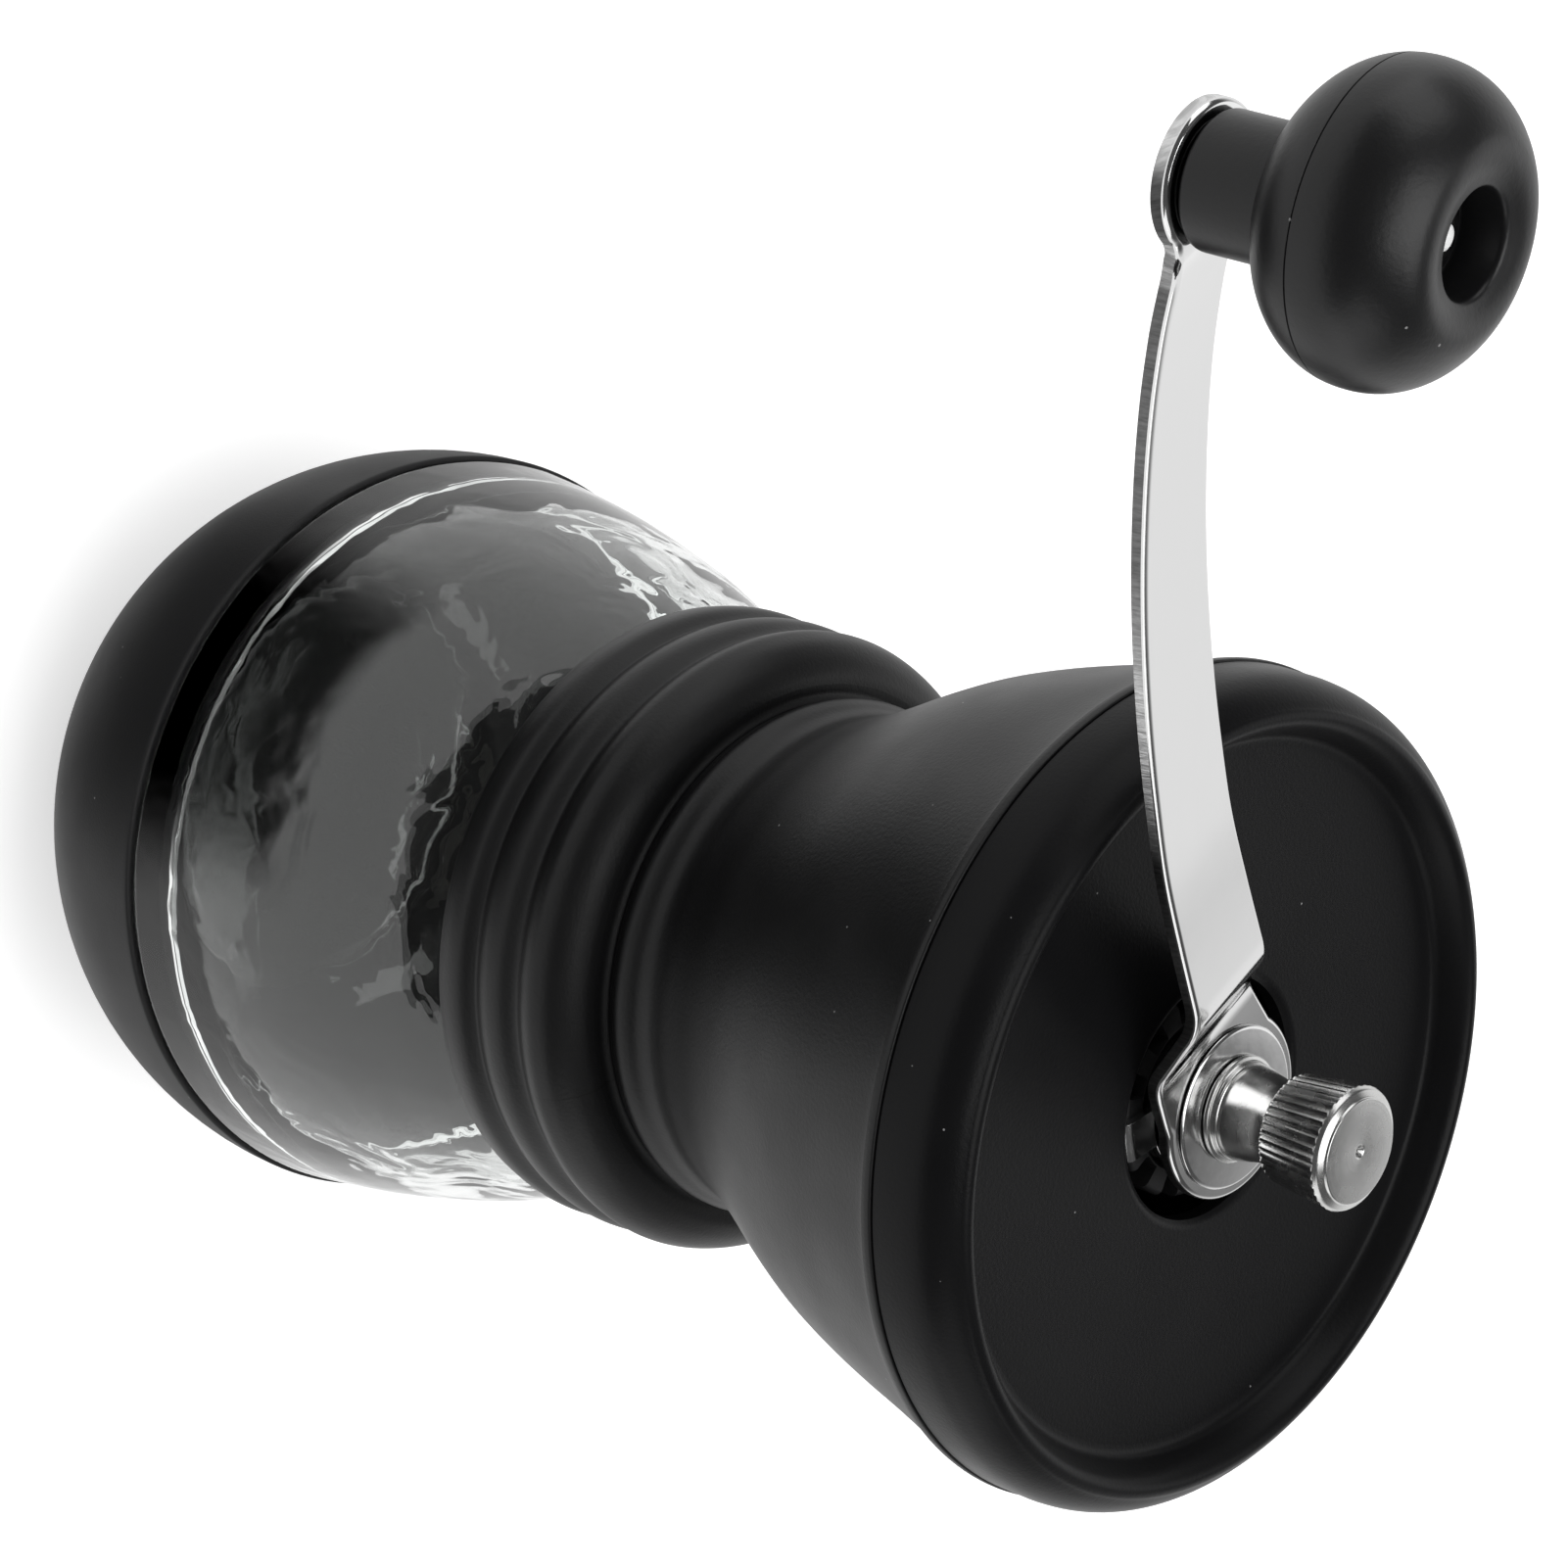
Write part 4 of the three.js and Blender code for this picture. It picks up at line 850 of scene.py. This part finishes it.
def knurled(r, z, angle):
    if not (168.9 < z < 176.0 and r > 5.2):
        return r, z
    share = (angle * KNURLS / (2 * math.pi)) % 1.0
    ridge_up = min(1.0, abs(2 * share - 1) * 1.5)
    return r - KNURL_DEPTH * (1 - ridge_up), z


nut_line = rounded([
    (3.1, 162.05), (5.58, 162.05, 0.15), (5.58, 162.5, 0.15), (5.2, 162.6), (5.1, 162.75, 0.05),
    (5.1, 163.15, 0.15), (4.85, 163.3), (4.98, 163.5, 0.15), (4.98, 163.75, 0.15), (4.1, 167.3, 0.5),
    (4.05, 168.2, 0.3),
    (5.0, 168.55, 0.2), (5.62, 169.0, 0.15), (5.66, 169.3), (6.4, 175.9, 0.12), (6.15, 176.4, 0.15),
    (5.45, 176.75, 0.1), (5.36, 176.98, 0.12), (0.7, 176.98, 0.1), (0.25, 176.55), (0, 176.5)])
nut_bore = [(0, 172.5), (3.1, 172.5)]
nut = spun("thumb_nut_knurled", [*nut_bore, *nut_line], KNURLS * 8, knurled, sharp=24)
settle(nut, "thumb", "turned_steel", lathe_cut, "thumb_nut")

# %% [markdown]
# The washer is a punched disc of bright steel whose edge the punch has rolled over on both sides.

# %% Press the washer
washer_line = rounded([(3.3, 161.5), (8.3, 161.5, 0.15), (8.6, 161.68, 0.12), (8.3, 161.88, 0.15),
                       (3.3, 161.88)])
settle(spun("nut_washer_pressed", washer_line, 128), "washer", "plated_steel", pressed, "nut_washer")

# %% [markdown]
# ## Under the hub
#
# In the lid's hole a bright plate with a bent tab shows under the hub. Its tab drops into one of twelve
# notches of the black adjusting nut and keeps the grind from wandering. The plate is a ring and a narrow arm
# bent down at the end, so its arm is a strip swept along a bent line.

# %% The adjusting nut
ADJUST_R, ADJUST_FOOT, ADJUST_TOP = 11.0, 150.8, 156.6
NOTCHES, NOTCH_START, TAB_NOTCH = 12, 10.0, 2


def notched(r, z, angle):
    share = ((math.degrees(angle) - NOTCH_START) / (360 / NOTCHES) + 0.5) % 1.0 - 0.5
    in_notch = abs(share * 360 / NOTCHES) < math.degrees(math.asin(1.3 / ADJUST_R))
    if z > ADJUST_TOP - 2.7 and r > 8.6 and in_notch:
        return min(r, 8.65) if r > 8.7 else r, ADJUST_TOP - 2.8
    return r, z


adjust_line = rounded([
    (3.1, ADJUST_FOOT), (10.7, ADJUST_FOOT, 0.3), (11.0, 151.2, 0.3), (11.0, 153.7), (11.0, 156.2, 0.4),
    (10.5, 156.6, 0.3), (8.8, 156.6), (8.2, 156.6, 0.3), (7.4, 154.6, 0.3), (6.2, 154.6, 0.3),
    (6.2, 156.4, 0.3), (3.1, 156.4)])
notched_nut = spun("notched_nut", adjust_line, 240, notched, sharp=30)
settle(notched_nut, "drive", "black_plastic", inner_plastic, "adjusting_nut")

# %% [markdown]
# The plate's ring is spun. Its arm is bent sheet, so it is a strip along a line, set over one of the notches,
# and a bevel eases its edges as tumbling does.

# %% The lock plate
def strip(name, path, half_widths, thickness):
    """A strip along a line in X and Z, as wide as it says at each point, with its back below its front."""
    points, faces = [], []
    for i, (x, z) in enumerate(path):
        a = Vector(path[max(i - 1, 0)])
        b = Vector(path[min(i + 1, len(path) - 1)])
        along = (b - a).normalized()
        for down in (0, thickness):
            for side in (1, -1):
                points.append((x + along.y * down, side * half_widths[i], z - along.x * down))
    for i in range(len(path) - 1):
        k = 4 * i
        faces += [(k, k + 4, k + 5, k + 1), (k + 2, k + 3, k + 7, k + 6), (k, k + 2, k + 6, k + 4),
                  (k + 1, k + 5, k + 7, k + 3)]
    end = 4 * (len(path) - 1)
    faces += [(0, 1, 3, 2), (end, end + 2, end + 3, end + 1)]
    return skin(name, points, faces, 30)


PLATE_TOP = 157.6
tab_path = rounded([(6.9, PLATE_TOP), (11.9, PLATE_TOP, 1.3), (11.9, 154.7)], 8)
tab_half = [2.1 if z > 156.9 else 1.1 for _, z in tab_path]
tab = strip("lock_tab", tab_path, tab_half, 0.9)
turn_to = 360 * TAB_NOTCH / NOTCHES + NOTCH_START
tab.data.transform(Matrix.Rotation(math.radians(turn_to), 4, "Z"))
ease = tab.modifiers.new("eased edges", "BEVEL")
ease.width = 0.12 * MM
ease.segments = 2
plate_line = rounded([(3.3, 156.72), (7.8, 156.72, 0.12), (7.8, 157.6, 0.12), (3.3, 157.6, 0.12), (3.3, 157)])
plate = spun("lock_ring", plate_line[:-1], 96)
settle(plate, "lock", "plated_steel", pressed, "lock_plate")
settle(tab, "lock", "plated_steel", pressed)

# %% [markdown]
# ## The knob
#
# The knob is two moulded shells on a sleeve, and it turns on a rivet through the crank's eye. Its form is a
# squashed super-ellipse, a little squarer than an ellipse, and its two halves meet in a fine line. The whole
# knob leans in towards the shaft by 0.137 radians, so it is built upright at its own middle and then set over.

# %% Mould the knob
KNOB_R, KNOB_HALF, SQUARENESS = 11.85, 8.6, 2.135
SPLIT = -1.1
lean = Matrix.Translation(KNOB_AT * MM) @ Matrix.Rotation(-KNOB_TILT, 4, "Y")


def knob_radius(h):
    return KNOB_R * (1 - (abs(h) / KNOB_HALF) ** SQUARENESS) ** (1 / SQUARENESS)


def knob_height(r):
    return KNOB_HALF * (1 - (r / KNOB_R) ** SQUARENESS) ** (1 / SQUARENESS)


def on_knob(name, outline, slot, material, body, *nodes, sides=128, sharp=35.0):
    piece = spun(name, outline, sides, sharp=sharp)
    piece.data.transform(lean)
    return settle(piece, body, slot, material, *nodes)


front_side = [(knob_radius(h), h) for h in np.linspace(SPLIT + 0.08, 6.2, 22)]
front_top = flowing([front_side[-2], front_side[-1], (8.1, 6.52), (7.5, 6.83), (6.8, 7.02), (6.1, 7.04),
                     (5.4, 6.92), (4.7, 6.7)], 4)[5:]
front_lip = rounded([front_top[-1], (4.0, 6.5, 0.45), (3.97, 5.6), (3.97, 2.7, 0.3), (2.15, 2.6), (2.15, 0.8),
                     (6.0, 0.8, 0.5), (8.3, 3.4, 0.5), (9.6, SPLIT + 0.02)], 6)
seam_edge = [(9.6, SPLIT + 0.02), (knob_radius(SPLIT) - 0.08, SPLIT + 0.02)]
cap_line = [*front_side, *front_top, *front_lip[1:-1], *seam_edge]
on_knob("knob_cap", cap_line, "knob_plastic", knob_plastic, "knob", "knob_front")

stem_top = -knob_height(5.2)
back_side = [(knob_radius(h), h) for h in np.linspace(stem_top - 0.02, SPLIT - 0.08, 26)]
back_line = [(5.25, stem_top - 0.05), *back_side, (knob_radius(SPLIT) - 0.08, SPLIT - 0.03),
             (9.5, SPLIT - 0.03), (8.4, -4.4), (6.4, -5.4), (3.5, -5.4), (3.5, stem_top - 0.05)]
on_knob("knob_shell", back_line, "knob_plastic", knob_plastic, "knob", "knob_back")

stem_line = rounded([(2.15, -14.88), (5.05, -14.88, 0.2), (5.27, -14.6, 0.3), (5.24, -10.5),
                     (5.22, -8.8, 0.5), (5.2, stem_top - 0.1), (3.4, stem_top - 0.1), (3.4, -4.4),
                     (2.15, -4.4)])
on_knob("knob_sleeve", stem_line, "knob_plastic", knob_plastic, "knob", "knob_stem")

# %% [markdown]
# The knob's hole shows a bright point at its bottom: the rivet's end, which was hammered over. Its near-white
# matt finish is a painted highlight. A clip under it holds the knob, and a washer keeps the knob's sleeve off
# the eye.

# %% The rivet, its clip and the washer under the knob
pin_line = rounded([(0, -18.05), (2.5, -18.05, 0.4), (3.15, -17.6, 0.3), (3.15, -16.92), (2.0, -16.92),
                    (2.0, 3.3), (2.15, 3.42, 0.08), (2.15, 3.52), (0.96, 3.58), (0.9, 3.9)])
on_knob("knob_rivet", [*pin_line, (0, 3.9)], "turned_steel", pressed, "drive", "knob_pin", sides=64)
nib_line = rounded([(0, 3.6), (1.0, 3.6), (1.02, 4.2, 0.15), (0.7, 4.32, 0.1), (0, 4.36)])
on_knob("knob_rivet_end", nib_line, "turned_steel", painted_highlight_finish, "drive", sides=48)
clip_line = rounded([(2.07, 2.68), (3.3, 2.68, 0.1), (3.3, 3.2, 0.1), (2.07, 3.2)])
on_knob("knob_clip_ring", clip_line, "spring_steel", dark_spring, "drive", "knob_clip", sides=64)
under_line = rounded([(2.15, -15.18), (4.55, -15.18, 0.08), (4.55, -15.02, 0.08), (2.15, -15.02)])
on_knob("knob_washer_black", under_line, "black_plastic", inner_plastic, "drive", "knob_washer", sides=96)

# %% [markdown]
# ## Inside the mill
#
# The shaft, its bushes and bridges, the burrs and their holder can be seen through the jar, through the
# hopper's mouth and in the poses. The shaft is spun in the same way, a little finer than the solid that it
# stands for. The solids whose shape is already right keep it and only take a finish.

# %% Dress what is inside
def dress(node, material, angle=30.0):
    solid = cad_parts[node]
    solid.data.materials.clear()
    solid.data.materials.append(material)
    solid.data.shade_smooth()
    solid.data.set_sharp_from_angle(angle=math.radians(angle))


shaft_line = rounded([(0, 78.62), (2.6, 78.62, 0.2), (2.98, 79.0, 0.2), (2.98, 157.9), (2.98, 162.0),
                      (2.98, 171.5, 0.2), (2.5, 171.98, 0.1), (0, 171.98)])


def with_flats(r, z, angle):
    if 157.95 < z < 162.05 and r > 2.5:
        side = abs(math.sin(angle))
        return (min(r, 2.4 / side) if side > 0.01 else r), z
    return r, z


# This ring was meant for the foot of the flats. It sits in the rounding of the shaft's foot instead, so a thin
# fold runs up inside the shaft, where it can't be seen, and the flats fade out slowly towards both ends.
shaft_line[4:4] = [(2.98, 158.0)]
settle(spun("shaft", shaft_line, 96, with_flats), "drive", "turned_steel", lathe_cut, "drive_shaft")

for node in ("top_bridge", "low_bridge", "burr_holder", "burr_carrier"):
    dress(node, inner_plastic)
for node in ("outer_burr", "inner_burr"):
    dress(node, fired)
for node in ("upper_bush", "lower_bush"):
    dress(node, acetal)
for node in ("burr_spring", "shaft_clip"):
    dress(node, dark_spring, 60)
for node in ("spring_washer", "holder_screw_1", "holder_screw_2", "holder_screw_3"):
    dress(node, pressed)
print("dressed", sum(not o.hide_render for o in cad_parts.values()), "solids as they are")
